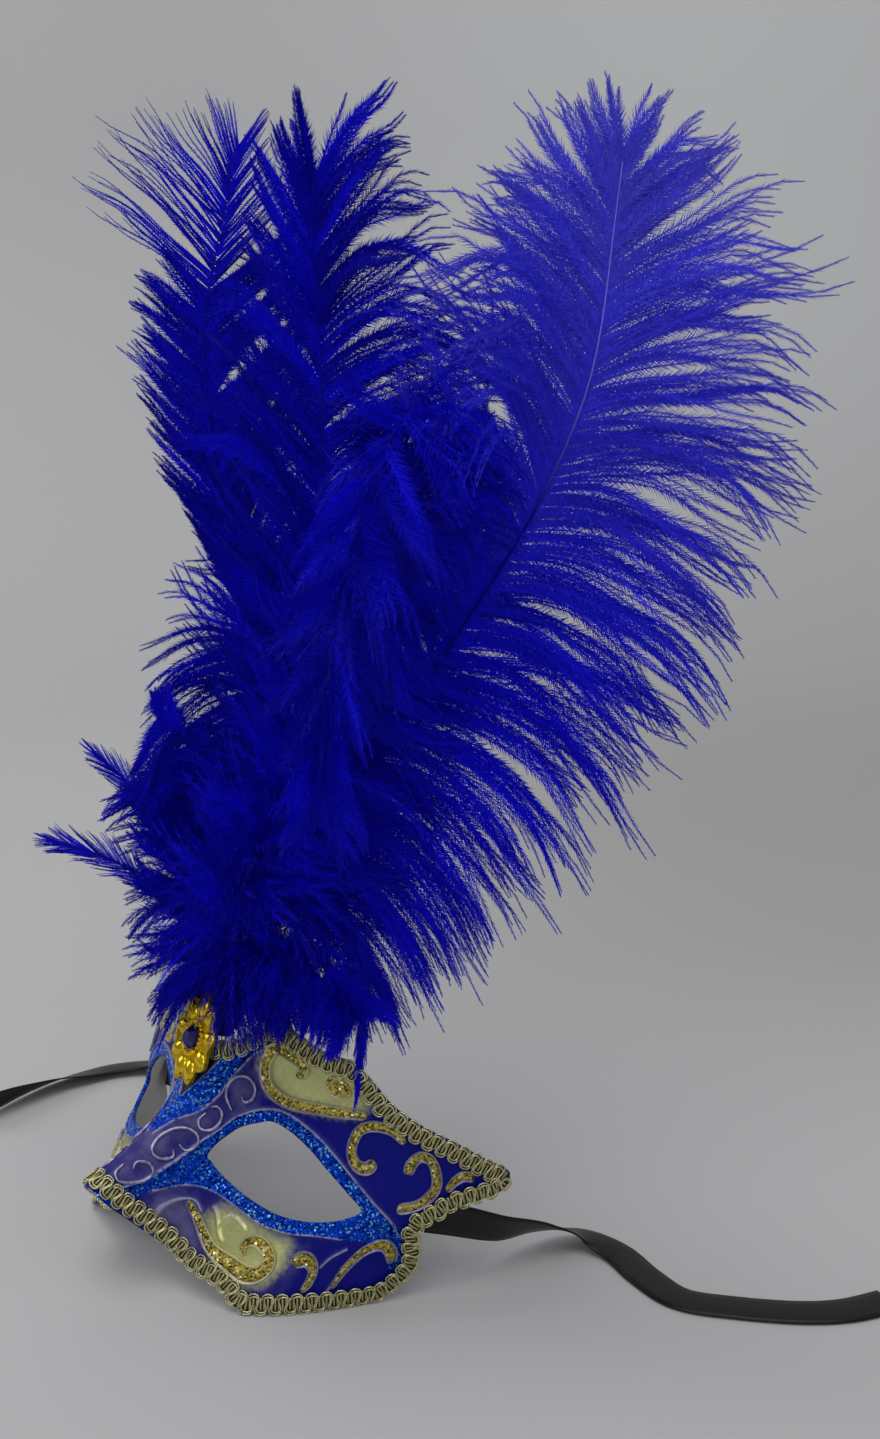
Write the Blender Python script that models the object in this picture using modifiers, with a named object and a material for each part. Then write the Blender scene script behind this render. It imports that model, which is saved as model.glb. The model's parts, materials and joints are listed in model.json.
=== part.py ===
"""A half mask with a moulded shell, gold scrollwork, a jewel, ostrich plumes and satin ties."""

import math

import bmesh
import bpy
from mathutils import Matrix, Vector
from mathutils.geometry import delaunay_2d_cdt

# Shell. In its own frame the mask faces -Y, +X is the wearer's left and +Z is up.
HALF_GIRTH = 0.120
MASK_HEIGHT = 0.100
FACE_RADIUS = 0.0905
FACE_DEPTH = 0.0792
CHEEK_TAPER = 6.0
BRIDGE_RISE = 0.00535
NOSE_SLOPE = 0.752
NOSE_HALF_WIDTH = 0.0117
NOSE_FULLNESS = 2.4
NOSE_REACH = 1.9
BROW_LEAN = 0.135
CHEEK_LEAN = 0.129
EASE = 0.008
WALL = 0.0016
RELIEF_HEIGHT = 0.0009
RELIEF_HALF_WIDTH = 0.0014
GRID = 0.0074
NOSE_GRID = 0.0030

# The mask leans back and rests on the lower edge of its cheeks.
LEAN = math.radians(26.5)
REST_FROM = 0.40
REST_TO = 0.82
REST_FADE = 0.07
REST_REACH = 0.0022

# Trim on the shell
CLEARANCE = 0.0003
TRIM_LIFT = 0.0005
NOSE_LIFT = 0.0010
BRAID_LIFT = 0.0005
BRAID_WIDTH = 0.0070
BRAID_THICKNESS = 0.0015
BRAID_OVERHANG = 0.0010
SCROLL_WIDTH = 0.0032
SCROLL_HEIGHT = 0.0010
NOSE_SCROLL_WIDTH = 0.0013
NOSE_SCROLL_HEIGHT = 0.0008
STRIP_STEP = 0.0032
SCROLL_BEND = 0.0030

# Jewel
JEWEL_WIDTH = 0.0200
JEWEL_HEIGHT = 0.0290
JEWEL_THICKNESS = 0.0014
JEWEL_UP = 0.22
STONE_WIDTH = 0.0074
STONE_HEIGHT = 0.0096
STONE_RISE = 0.0032
BEAD_WIRE = 0.0009
BEAD_COUNT = 14
LOBE_COUNT = 9
LOBE_DEPTH = 0.10
PIERCING_RADIUS = 0.0008

# Feathers
PAD_TOP_WIDTH = 0.026
PAD_FOOT_WIDTH = 0.011
PAD_HEIGHT = 0.016
PAD_DEPTH = 0.009
PLUME_HEIGHT = 0.280
PLUME_FOOT = 0.42
FAN_TURN = math.radians(48.0)
QUILL_WIDTH = 0.0016
VANE_THICKNESS = 0.0006

# Ribbons
RIBBON_WIDTH = 0.012
RIBBON_THICKNESS = 0.0010

# Half outline from the top of the forehead round to the tip of the nose:
# (share of HALF_GIRTH along the face, share of MASK_HEIGHT up)
OUTLINE = (
    (0.000, 0.230),
    (0.067, 0.250),
    (0.108, 0.290),
    (0.150, 0.340),
    (0.208, 0.375),
    (0.283, 0.365),
    (0.367, 0.345),
    (0.458, 0.350),
    (0.533, 0.310),
    (0.583, 0.275),
    (0.642, 0.250),
    (0.717, 0.233),
    (0.808, 0.220),
    (0.908, 0.200),
    (1.000, 0.180),
    (0.990, 0.105),
    (0.908, 0.040),
    (0.833, -0.015),
    (0.804, -0.050),
    (0.822, -0.088),
    (0.852, -0.140),
    (0.867, -0.210),
    (0.850, -0.285),
    (0.804, -0.352),
    (0.750, -0.386),
    (0.667, -0.424),
    (0.583, -0.454),
    (0.500, -0.481),
    (0.417, -0.484),
    (0.308, -0.472),
    (0.192, -0.460),
    (0.117, -0.420),
    (0.067, -0.370),
    (0.025, -0.332),
    (0.000, -0.322),
)

# Eye hole, the same two shares, from the inner corner over the top
EYE = (
    (0.125, -0.120),
    (0.133, -0.068),
    (0.167, -0.003),
    (0.222, 0.040),
    (0.273, 0.066),
    (0.340, 0.058),
    (0.408, 0.031),
    (0.477, -0.008),
    (0.553, -0.050),
    (0.613, -0.088),
    (0.580, -0.131),
    (0.533, -0.159),
    (0.475, -0.181),
    (0.400, -0.193),
    (0.328, -0.190),
    (0.246, -0.177),
    (0.171, -0.156),
    (0.137, -0.132),
)

# Thin lines moulded in the shell, the same two shares
MOULDED_LINES = {
    "under_eye": (
        (0.117, -0.230),
        (0.175, -0.212),
        (0.267, -0.222),
        (0.358, -0.238),
        (0.442, -0.232),
        (0.533, -0.202),
    ),
    "nose_upper": ((0.020, -0.090), (0.036, -0.048), (0.067, 0.000), (0.090, 0.065), (0.108, 0.135)),
    "nose_lower": (
        (0.067, -0.250),
        (0.083, -0.170),
        (0.100, -0.090),
        (0.125, -0.030),
        (0.158, 0.030),
        (0.217, 0.080),
        (0.283, 0.108),
        (0.350, 0.102),
        (0.430, 0.070),
        (0.510, 0.022),
    ),
    "cheek_first": ((0.200, -0.258), (0.242, -0.290), (0.283, -0.330)),
    "cheek_last": ((0.592, -0.262), (0.608, -0.202)),
}

# Centre lines of the raised scrolls, the same two shares
GLITTER_SCROLLS = {
    "scroll_brow": (
        (0.300, 0.238),
        (0.317, 0.275),
        (0.313, 0.310),
        (0.288, 0.322),
        (0.250, 0.318),
        (0.215, 0.285),
        (0.202, 0.230),
        (0.218, 0.180),
        (0.250, 0.150),
        (0.308, 0.142),
        (0.392, 0.160),
        (0.470, 0.180),
        (0.535, 0.200),
    ),
    "scroll_leaf": ((0.413, 0.285), (0.420, 0.252), (0.455, 0.255), (0.470, 0.283), (0.452, 0.298)),
    "scroll_temple": (
        (0.655, 0.172),
        (0.608, 0.192),
        (0.562, 0.182),
        (0.527, 0.152),
        (0.518, 0.108),
        (0.527, 0.068),
        (0.548, 0.045),
        (0.575, 0.045),
        (0.590, 0.068),
    ),
    "scroll_crook": (
        (0.688, 0.072),
        (0.690, 0.108),
        (0.710, 0.138),
        (0.738, 0.138),
        (0.765, 0.108),
        (0.782, 0.066),
        (0.772, 0.025),
        (0.745, -0.012),
        (0.708, -0.038),
    ),
    "scroll_tip": ((0.816, 0.070), (0.828, 0.098), (0.846, 0.108), (0.866, 0.104)),
    "scroll_cheek": (
        (0.133, -0.270),
        (0.167, -0.300),
        (0.210, -0.338),
        (0.262, -0.376),
        (0.317, -0.398),
        (0.375, -0.404),
        (0.420, -0.388),
        (0.440, -0.355),
        (0.428, -0.320),
        (0.392, -0.295),
        (0.352, -0.298),
        (0.335, -0.328),
        (0.355, -0.350),
    ),
    "scroll_spiral": ((0.490, -0.275), (0.525, -0.262), (0.560, -0.285), (0.580, -0.330), (0.575, -0.372)),
    "scroll_arch": (
        (0.658, -0.330),
        (0.658, -0.262),
        (0.672, -0.210),
        (0.695, -0.172),
        (0.725, -0.158),
        (0.755, -0.172),
        (0.782, -0.205),
    ),
}
NOSE_SCROLLS = {
    "nose_curl_low": ((0.036, -0.255), (0.058, -0.240), (0.060, -0.212), (0.042, -0.190)),
    "nose_curl_wide": (
        (0.092, -0.110),
        (0.088, -0.072),
        (0.058, -0.062),
        (0.038, -0.100),
        (0.046, -0.150),
        (0.068, -0.172),
    ),
    "nose_curl_small": ((0.080, -0.020), (0.100, -0.044), (0.120, -0.025), (0.118, 0.010), (0.098, 0.026)),
    "nose_curl_high": (
        (0.133, 0.040),
        (0.108, 0.092),
        (0.128, 0.145),
        (0.172, 0.150),
        (0.190, 0.118),
        (0.172, 0.085),
    ),
}

# Ostrich plumes and short feathers. Each has its seat on the pad as (across, deep) shares of the
# pad's top, the stations of its quill after the seat as (right, up, back) shares of PLUME_HEIGHT,
# and its barbs as (place on the quill, left length, right length), lengths in the same share.
FEATHERS = {
    "plume_large": {
        "seat": (0.62, 0.0),
        "quill": (
            (0.100, 0.160, -0.036),
            (0.200, 0.304, -0.060),
            (0.293, 0.454, -0.090),
            (0.354, 0.557, -0.107),
            (0.400, 0.661, -0.121),
            (0.421, 0.743, -0.125),
            (0.434, 0.860, -0.128),
            (0.440, 0.945, -0.130),
        ),
        "barbs": (
            (0.16, 0.05, 0.22),
            (0.35, 0.12, 0.27),
            (0.60, 0.20, 0.28),
            (0.80, 0.20, 0.23),
            (1.00, 0.10, 0.11),
        ),
        "locks": 12,
        "angle": (72.0, 26.0),
        "droop": (0.05, 0.42),
        "curl": -0.10,
    },
    "plume_tall": {
        "seat": (-0.10, 0.32),
        "quill": (
            (0.032, 0.100, 0.046),
            (0.038, 0.254, 0.062),
            (0.034, 0.446, 0.066),
            (0.014, 0.540, 0.069),
            (0.000, 0.650, 0.071),
            (-0.004, 0.750, 0.071),
            (0.011, 0.825, 0.068),
            (0.040, 0.975, 0.062),
        ),
        "barbs": (
            (0.30, 0.10, 0.08),
            (0.45, 0.14, 0.13),
            (0.75, 0.17, 0.16),
            (0.90, 0.16, 0.12),
            (1.00, 0.05, 0.05),
        ),
        "locks": 12,
        "angle": (40.0, 30.0),
        "droop": (0.03, 0.06),
        "curl": 0.05,
    },
    "plume_middle": {
        "seat": (0.28, 0.10),
        "quill": (
            (0.086, 0.218, 0.012),
            (0.125, 0.457, 0.006),
            (0.132, 0.689, 0.002),
            (0.125, 0.846, 0.000),
            (0.130, 0.935, -0.006),
        ),
        "barbs": ((0.30, 0.08, 0.12), (0.50, 0.13, 0.17), (0.80, 0.14, 0.18), (1.0, 0.07, 0.12)),
        "locks": 12,
        "angle": (48.0, 30.0),
        "droop": (0.04, 0.20),
        "curl": 0.05,
    },
    "plume_curled": {
        "seat": (0.45, -0.30),
        "quill": (
            (0.107, 0.304, -0.092),
            (0.180, 0.500, -0.130),
            (0.222, 0.620, -0.152),
            (0.232, 0.672, -0.195),
            (0.206, 0.632, -0.235),
            (0.171, 0.525, -0.246),
            (0.150, 0.400, -0.240),
            (0.137, 0.285, -0.226),
        ),
        "barbs": (
            (0.28, 0.05, 0.07),
            (0.42, 0.14, 0.13),
            (0.62, 0.12, 0.12),
            (0.85, 0.13, 0.13),
            (1.00, 0.06, 0.06),
        ),
        "locks": 12,
        "angle": (48.0, 40.0),
        "droop": (0.25, 0.25),
        "curl": -0.04,
    },
    "plume_side": {
        "seat": (-0.48, -0.05),
        "quill": (
            (0.004, 0.120, 0.010),
            (-0.018, 0.225, 0.000),
            (-0.060, 0.310, -0.010),
            (-0.112, 0.365, -0.018),
        ),
        "barbs": ((0.30, 0.08, 0.05), (0.60, 0.12, 0.10), (1.0, 0.07, 0.07)),
        "locks": 8,
        "angle": (62.0, 42.0),
        "droop": (0.35, 0.10),
        "curl": 0.0,
    },
    "tuft_left": {
        "seat": (-0.72, -0.30),
        "quill": ((-0.038, 0.055, 0.006), (-0.058, 0.120, -0.002), (-0.064, 0.180, -0.008)),
        "barbs": ((0.15, 0.05, 0.03), (0.60, 0.07, 0.05), (1.0, 0.03, 0.03)),
        "locks": 5,
        "angle": (65.0, 40.0),
        "droop": (0.35, 0.10),
        "curl": 0.0,
    },
    "tuft_front": {
        "seat": (0.12, -0.38),
        "quill": ((0.014, 0.060, -0.040), (0.034, 0.120, -0.062), (0.060, 0.170, -0.074)),
        "barbs": ((0.34, 0.05, 0.05), (0.60, 0.08, 0.07), (1.0, 0.03, 0.03)),
        "locks": 5,
        "angle": (62.0, 40.0),
        "droop": (0.30, 0.30),
        "curl": 0.0,
    },
    "tuft_right": {
        "seat": (0.80, -0.30),
        "quill": (
            (0.055, 0.045, -0.060),
            (0.100, 0.058, -0.086),
            (0.135, 0.030, -0.102),
            (0.150, -0.010, -0.108),
        ),
        "barbs": ((0.20, 0.04, 0.04), (0.60, 0.06, 0.05), (1.0, 0.03, 0.03)),
        "locks": 5,
        "angle": (60.0, 45.0),
        "droop": (0.10, 0.10),
        "curl": 0.0,
    },
    "hackle_hanging": {
        "seat": (0.92, 0.15),
        "quill": (
            (0.080, 0.095, -0.040),
            (0.140, 0.118, -0.055),
            (0.171, 0.050, -0.068),
            (0.172, -0.040, -0.070),
            (0.168, -0.110, -0.070),
        ),
        "barbs": ((0.50, 0.020, 0.020), (0.80, 0.025, 0.020), (1.0, 0.010, 0.010)),
        "locks": 5,
        "angle": (25.0, 15.0),
        "droop": (0.0, 0.0),
        "curl": 0.0,
    },
    "wisp_low": {
        "seat": (-0.86, 0.05),
        "quill": ((-0.060, 0.070, 0.040), (-0.120, 0.130, 0.040), (-0.205, 0.160, 0.042)),
        "barbs": ((0.55, 0.030, 0.030), (0.80, 0.035, 0.035), (1.0, 0.010, 0.010)),
        "locks": 4,
        "angle": (35.0, 20.0),
        "droop": (0.05, 0.05),
        "curl": 0.0,
    },
    "wisp_high": {
        "seat": (-0.86, 0.36),
        "quill": ((-0.050, 0.110, 0.058), (-0.095, 0.205, 0.058), (-0.150, 0.262, 0.060)),
        "barbs": ((0.55, 0.030, 0.030), (0.80, 0.035, 0.035), (1.0, 0.010, 0.010)),
        "locks": 4,
        "angle": (35.0, 20.0),
        "droop": (0.05, 0.05),
        "curl": 0.0,
    },
}
LOCK_STEPS = 3
LOCK_FILL = 0.66

# Where a ribbon is held behind the shell: shares along and up the face, and its distance inside the
# wall in metres. Ribbon routes on the surface that the mask rests on, after the root inside the shell:
# (x, y, height of the middle above the surface, twist from flat in degrees), metres
RIBBON_ROOTS = ((0.735, -0.050, 0.0012), (0.800, -0.062, 0.0024))
RIBBON_ROUTES = {
    "ribbon_left": (
        (0.0775, 0.0450, 0.0225, 78.0),
        (0.0825, 0.0600, 0.0160, 62.0),
        (0.0835, 0.0780, 0.0095, 34.0),
        (0.0880, 0.0915, 0.0040, 12.0),
        (0.1000, 0.0960, 0.0012, 3.0),
        (0.1160, 0.0925, 0.0008, 0.0),
        (0.1320, 0.0915, 0.0008, 0.0),
        (0.1470, 0.1010, 0.0008, 0.0),
        (0.1620, 0.1140, 0.0008, 0.0),
        (0.1710, 0.1260, 0.0008, 0.0),
        (0.1765, 0.1400, 0.0008, 0.0),
    ),
    "ribbon_right": (
        (-0.0780, 0.0455, 0.0220, -76.0),
        (-0.0960, 0.0560, 0.0130, -50.0),
        (-0.1120, 0.0600, 0.0065, -26.0),
        (-0.1250, 0.0560, 0.0030, -12.0),
        (-0.1330, 0.0440, 0.0020, -8.0),
        (-0.1355, 0.0310, 0.0024, -14.0),
        (-0.1360, 0.0180, 0.0036, -28.0),
        (-0.1340, 0.0040, 0.0048, -42.0),
        (-0.1310, -0.0100, 0.0058, -58.0),
        (-0.1290, -0.0240, 0.0060, -62.0),
    ),
}
RIBBON_STEP = 0.008

COLOURS = {
    "shell": ((0.10, 0.08, 0.42), 0.42, 0.1),
    "gold": ((0.62, 0.52, 0.20), 0.35, 0.8),
    "silver": ((0.40, 0.38, 0.62), 0.35, 0.5),
    "braid": ((0.55, 0.50, 0.28), 0.45, 0.6),
    "jewel": ((0.85, 0.62, 0.06), 0.2, 1.0),
    "stone": ((0.01, 0.01, 0.12), 0.05, 0.0),
    "pad": ((0.01, 0.01, 0.06), 0.9, 0.0),
    "feather": ((0.02, 0.01, 0.62), 0.8, 0.0),
    "ribbon": ((0.01, 0.01, 0.012), 0.4, 0.0),
}


def clear_scene():
    for obj in list(bpy.data.objects):
        bpy.data.objects.remove(obj)


def material(name):
    found = bpy.data.materials.get(name)
    if found:
        return found
    made = bpy.data.materials.new(name)
    made.use_nodes = True
    colour, roughness, metallic = COLOURS[name]
    shader = made.node_tree.nodes["Principled BSDF"]
    shader.inputs["Base Color"].default_value = (*colour, 1.0)
    shader.inputs["Roughness"].default_value = roughness
    shader.inputs["Metallic"].default_value = metallic
    return made


def add_object(name, mesh, finish, parent):
    obj = bpy.data.objects.new(name, mesh)
    mesh.materials.append(material(finish))
    PARTS.objects.link(obj)
    obj.parent = parent
    return obj


def mesh_from(name, points, faces):
    mesh = bpy.data.meshes.new(name)
    mesh.from_pydata([tuple(point) for point in points], [], faces)
    return mesh


def solidify(obj, thickness, offset):
    wall = obj.modifiers.new("Wall", "SOLIDIFY")
    wall.thickness = thickness
    wall.offset = offset
    return wall


def mirror(obj):
    halves = obj.modifiers.new("Halves", "MIRROR")
    halves.merge_threshold = 0.0001
    return halves


# Curves through points


def spline_at(points, index, part):
    """Catmull-Rom point between points[index] and points[index + 1]; the ends are repeated."""
    last = len(points) - 1
    before, start, end, after = (points[min(max(index + k, 0), last)] for k in (-1, 0, 1, 2))
    return 0.5 * (
        2 * start
        + (end - before) * part
        + (2 * before - 5 * start + 4 * end - after) * part**2
        + (3 * start - before - 3 * end + after) * part**3
    )


def smooth_path(points, step):
    """Evenly spread points of a smooth open curve through the given ones."""
    path = []
    for index in range(len(points) - 1):
        count = max(1, round((points[index + 1] - points[index]).to_3d().length / step))
        path += [spline_at(points, index, k / count) for k in range(count)]
    return path + [points[-1]]


def smooth_loop(points, step):
    around = [points[-1], *points, points[0], points[1]]
    loop = []
    for index in range(1, len(around) - 2):
        count = max(1, round((around[index + 1] - around[index]).length / step))
        loop += [spline_at(around, index, k / count) for k in range(count)]
    return loop


def flat(table):
    """Points in metres on the unrolled face from a table of shares."""
    return [Vector((along * HALF_GIRTH, up * MASK_HEIGHT)) for along, up in table]


# The face


def soft_ramp(value):
    return EASE * math.log1p(math.exp(value / EASE))


def face_point(along, up):
    """Point on the outer face for a place on the unrolled face."""
    angle = along / FACE_RADIUS
    below = soft_ramp(-up)
    narrowing = 1 - CHEEK_TAPER * below * math.sin(angle) ** 2
    nose = (BRIDGE_RISE + NOSE_SLOPE * below) * math.exp(-abs(along / NOSE_HALF_WIDTH) ** NOSE_FULLNESS)
    return Vector(
        (
            FACE_RADIUS * math.sin(angle) * narrowing,
            FACE_DEPTH * (1 - math.cos(angle)) - nose - BROW_LEAN * soft_ramp(up) - CHEEK_LEAN * below,
            up,
        )
    )


def face_normal(along, up):
    nudge = 0.0002
    across = face_point(along + nudge, up) - face_point(along - nudge, up)
    upward = face_point(along, up + nudge) - face_point(along, up - nudge)
    return across.cross(upward).normalized()


def nearest_on_path(point, path):
    found = path[0]
    for start, end in zip(path, path[1:]):
        span = end - start
        part = (point - start).dot(span) / max(span.length_squared, 1e-12)
        here = start + span * min(max(part, 0), 1)
        if (point - here).length < (point - found).length:
            found = here
    return found


def distance_to_path(point, path):
    return (point - nearest_on_path(point, path)).length


def inside(point, loop):
    crossings = 0
    for start, end in zip(loop, loop[1:] + loop[:1]):
        if (start.y > point.y) != (end.y > point.y):
            crossings += point.x < start.x + (point.y - start.y) / (end.y - start.y) * (end.x - start.x)
    return crossings % 2 == 1


def near_nose(along):
    return abs(along) < NOSE_REACH * NOSE_HALF_WIDTH


def lifted(place, lift):
    """Point over the face at a place, lifted a little more along the ridge of the nose."""
    more = NOSE_LIFT * math.exp(-((place[0] / NOSE_HALF_WIDTH) ** 2))
    return face_point(*place) + face_normal(*place) * (lift + more)


def standing_height(place, lift=BRAID_LIFT):
    """Height of a place on the face once the mask leans, before it is set down."""
    point = face_point(*place) + face_normal(*place) * lift
    return point.z * math.cos(LEAN) - point.y * math.sin(LEAN)


def outline_path():
    """The half outline, with the stretch of cheek that the mask rests on made level."""
    path = smooth_path(flat(OUTLINE), NOSE_GRID)
    lowest = min(standing_height(place) for place in path)
    for place in path:
        share = place.x / HALF_GIRTH
        fade = min((share - REST_FROM) / REST_FADE + 1, (REST_TO - share) / REST_FADE + 1, 1)
        if place.y > 0 or fade <= 0:
            continue
        drop = min(standing_height(place) - lowest, REST_REACH) * fade
        goal = standing_height(place) - drop
        for _ in range(4):
            place.y -= (standing_height(place) - goal) / math.cos(LEAN)
    return path


def half_edge(inset):
    """The half outline moved inwards, from the forehead to the nose, ends on the midline."""
    rough = outline_path()
    edge = []
    for index, point in enumerate(rough):
        before = rough[index - 1] if index else Vector((-rough[1].x, rough[1].y))
        after = rough[index + 1] if index + 1 < len(rough) else Vector((-rough[-2].x, rough[-2].y))
        run = (after - before).normalized()
        moved = point + Vector((run.y, -run.x)) * inset
        if distance_to_path(moved, rough) >= 0.97 * inset and moved.x > -1e-6:
            edge.append(moved)
    edge[0].x = 0.0
    edge[-1].x = 0.0
    return thinned(edge)


def thinned(path):
    """Drops points that lie closer than the grid asks for, keeping both ends."""
    kept = [path[0]]
    for point in path[1:-1]:
        wanted = 0.7 * NOSE_GRID if near_nose(point.x) else 0.62 * GRID
        if (point - kept[-1]).length >= wanted and (point - path[-1]).length >= 0.5 * wanted:
            kept.append(point)
    return kept + [path[-1]]


def midline(start, end):
    """Points down the midline between two points, ends left out."""
    count = max(1, round(abs(start.y - end.y) / NOSE_GRID))
    return [start.lerp(end, k / count) for k in range(1, count)]


def triangulate(region, holes, extra):
    """Triangles of a flat region with holes, and the points that they use."""
    points, edges = [], []
    for loop in (region, *holes):
        first = len(points)
        points += loop
        edges += [(first + k, first + (k + 1) % len(loop)) for k in range(len(loop))]
    points += extra
    placed, _, faces, *_ = delaunay_2d_cdt(points, edges, [], 0, 1e-6, False)
    kept = []
    for face in faces:
        centre = sum((placed[k] for k in face), Vector((0, 0))) / 3
        if inside(centre, region) and not any(inside(centre, hole) for hole in holes):
            kept.append(face)
    return placed, kept


def relief_at(point, lines):
    """Height of the moulded lines over the plain face."""
    nearest = min(distance_to_path(point, line) for line in lines)
    return RELIEF_HEIGHT * max(0.0, 1 - nearest / RELIEF_HALF_WIDTH)


def make_shell(frame):
    edge = half_edge(BRAID_OVERHANG)
    region = edge + midline(edge[-1], edge[0])
    eye = smooth_loop(flat(EYE), 0.6 * GRID)
    lines = [smooth_path(flat(table), 0.75 * GRID) for table in MOULDED_LINES.values()]
    ridges = []
    for line in lines:
        for index, point in enumerate(line):
            run = (line[min(index + 1, len(line) - 1)] - line[max(index - 1, 0)]).normalized()
            side = Vector((-run.y, run.x)) * RELIEF_HALF_WIDTH
            ridges += [point, point + side, point - side]
    fixed = region + eye + ridges
    grid = []
    columns = [k * NOSE_GRID for k in range(1, math.ceil(NOSE_REACH * NOSE_HALF_WIDTH / NOSE_GRID) + 1)]
    while columns[-1] < HALF_GIRTH:
        columns.append(columns[-1] + GRID)
    rows = math.ceil(MASK_HEIGHT / GRID)
    for index, along in enumerate(columns):
        for row in range(-rows, rows + 1):
            step = GRID * (0.55 if near_nose(along) else 1.0)
            grid.append(Vector((along, (row + 0.5 * (index % 2)) * step)))
    free = []
    for point in grid:
        room = 0.55 * NOSE_GRID if near_nose(point.x) else 0.5 * GRID
        clear = min((point - other).length for other in fixed) > room
        if clear and inside(point, region) and not inside(point, eye):
            free.append(point)
    extra = [point for point in ridges if inside(point, region) and not inside(point, eye)]
    placed, faces = triangulate(region, [eye], extra + free)
    points = [face_point(*point) + face_normal(*point) * relief_at(point, lines) for point in placed]
    shell = add_object("mask_shell", mesh_from("mask_shell", points, faces), "shell", frame)
    mirror(shell)
    solidify(shell, WALL, -1.0)


def make_braid(frame):
    outer = half_edge(0.0)
    inner = half_edge(BRAID_WIDTH)
    region = outer + inner[::-1]
    middle = [point for point in half_edge(0.5 * BRAID_WIDTH) if near_nose(point.x) and point.y < 0]
    placed, faces = triangulate(region, [], middle[:-1])
    points = [lifted(point, BRAID_LIFT) for point in placed]
    braid = add_object("edge_braid", mesh_from("edge_braid", points, faces), "braid", frame)
    mirror(braid)
    solidify(braid, BRAID_THICKNESS, 1.0)


def clear_of_braid(path, half):
    """Ends a scroll at the braid, and bends it along the braid where it would run beneath."""
    edge = outline_path()
    room = BRAID_WIDTH + half + 2 * CLEARANCE
    while distance_to_path(path[0], edge) < room - SCROLL_BEND:
        path = path[1:]
    while distance_to_path(path[-1], edge) < room - SCROLL_BEND:
        path = path[:-1]
    cleared = []
    for place in path:
        near = nearest_on_path(place, edge)
        away = place - near
        cleared.append(near + away * max(1, room / away.length))
    return cleared


def make_strip(name, table, width, height, side, finish, frame):
    """A raised band that follows a path on the face; side is 1 for the wearer's left and -1 for the right."""
    path = clear_of_braid(smooth_path(flat(table), STRIP_STEP), 0.5 * width)
    points, faces = [], []
    for index, place in enumerate(path):
        nearby = path[min(index + 1, len(path) - 1)], path[max(index - 1, 0)]
        run = face_point(*nearby[0]) - face_point(*nearby[1])
        normal = face_normal(*place)
        across = normal.cross(run).normalized()
        part = index / (len(path) - 1)
        half = 0.5 * width * (0.55 + 0.45 * math.sin(math.pi * part) ** 0.5)
        middle = lifted(place, TRIM_LIFT)
        for sign in (-1, 1):
            point = middle + across * half * sign
            points.append(Vector((point.x * side, point.y, point.z)))
        if index:
            last = len(points) - 1
            quad = (last - 3, last - 1, last, last - 2)
            faces.append(quad[::-1] if side > 0 else quad)
    strip = add_object(name, mesh_from(name, points, faces), finish, frame)
    solidify(strip, height, -1.0)


def make_scrolls(frame):
    for side, hand in ((1, "left"), (-1, "right")):
        for name, table in GLITTER_SCROLLS.items():
            make_strip(f"{name}_{hand}", table, SCROLL_WIDTH, SCROLL_HEIGHT, side, "gold", frame)
        for name, table in NOSE_SCROLLS.items():
            make_strip(f"{name}_{hand}", table, NOSE_SCROLL_WIDTH, NOSE_SCROLL_HEIGHT, side, "silver", frame)


# The jewel and the pad behind it


def jewel_seat(frame):
    """An empty on the forehead: its X is across, its Y up the face and its Z straight out."""
    up = JEWEL_UP * MASK_HEIGHT
    normal = face_normal(0.0, up)
    rise = Vector((0, 0, 1)) - normal * normal.z
    rise.normalize()
    across = rise.cross(normal)
    turn = Matrix((across, rise, normal)).transposed().to_4x4()
    over_braid = BRAID_THICKNESS + CLEARANCE
    seat = bpy.data.objects.new("jewel_seat", None)
    PARTS.objects.link(seat)
    seat.parent = frame
    seat.matrix_local = Matrix.Translation(lifted((0.0, up), BRAID_LIFT) + normal * over_braid) @ turn
    return seat


def oval(width, height, count, wave=0.0, waves=0):
    points = []
    for k in range(count):
        angle = 2 * math.pi * k / count
        swell = 1 + wave * math.cos(waves * angle)
        points.append(Vector((0.5 * width * math.sin(angle) * swell, 0.5 * height * math.cos(angle) * swell)))
    return points


def flat_outline(name, loops, thickness):
    """A filled 2D curve with holes, given a thickness."""
    curve = bpy.data.curves.new(name, "CURVE")
    curve.dimensions = "2D"
    curve.fill_mode = "BOTH"
    curve.extrude = 0.5 * thickness
    for loop in loops:
        spline = curve.splines.new("POLY")
        spline.points.add(len(loop) - 1)
        for place, point in zip(spline.points, loop):
            place.co = (point.x, point.y, 0.0, 1.0)
        spline.use_cyclic_u = True
    return curve


def to_mesh_object(obj):
    """Replaces a curve object by a mesh object with its caps welded."""
    graph = bpy.context.evaluated_depsgraph_get()
    mesh = bpy.data.meshes.new_from_object(obj.evaluated_get(graph))
    body = bmesh.new()
    body.from_mesh(mesh)
    bmesh.ops.remove_doubles(body, verts=body.verts, dist=0.00001)
    body.to_mesh(mesh)
    body.free()
    made = bpy.data.objects.new(obj.name + "_mesh", mesh)
    PARTS.objects.link(made)
    made.parent = obj.parent
    made.matrix_world = obj.matrix_world
    bpy.data.objects.remove(obj)
    return made


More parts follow.
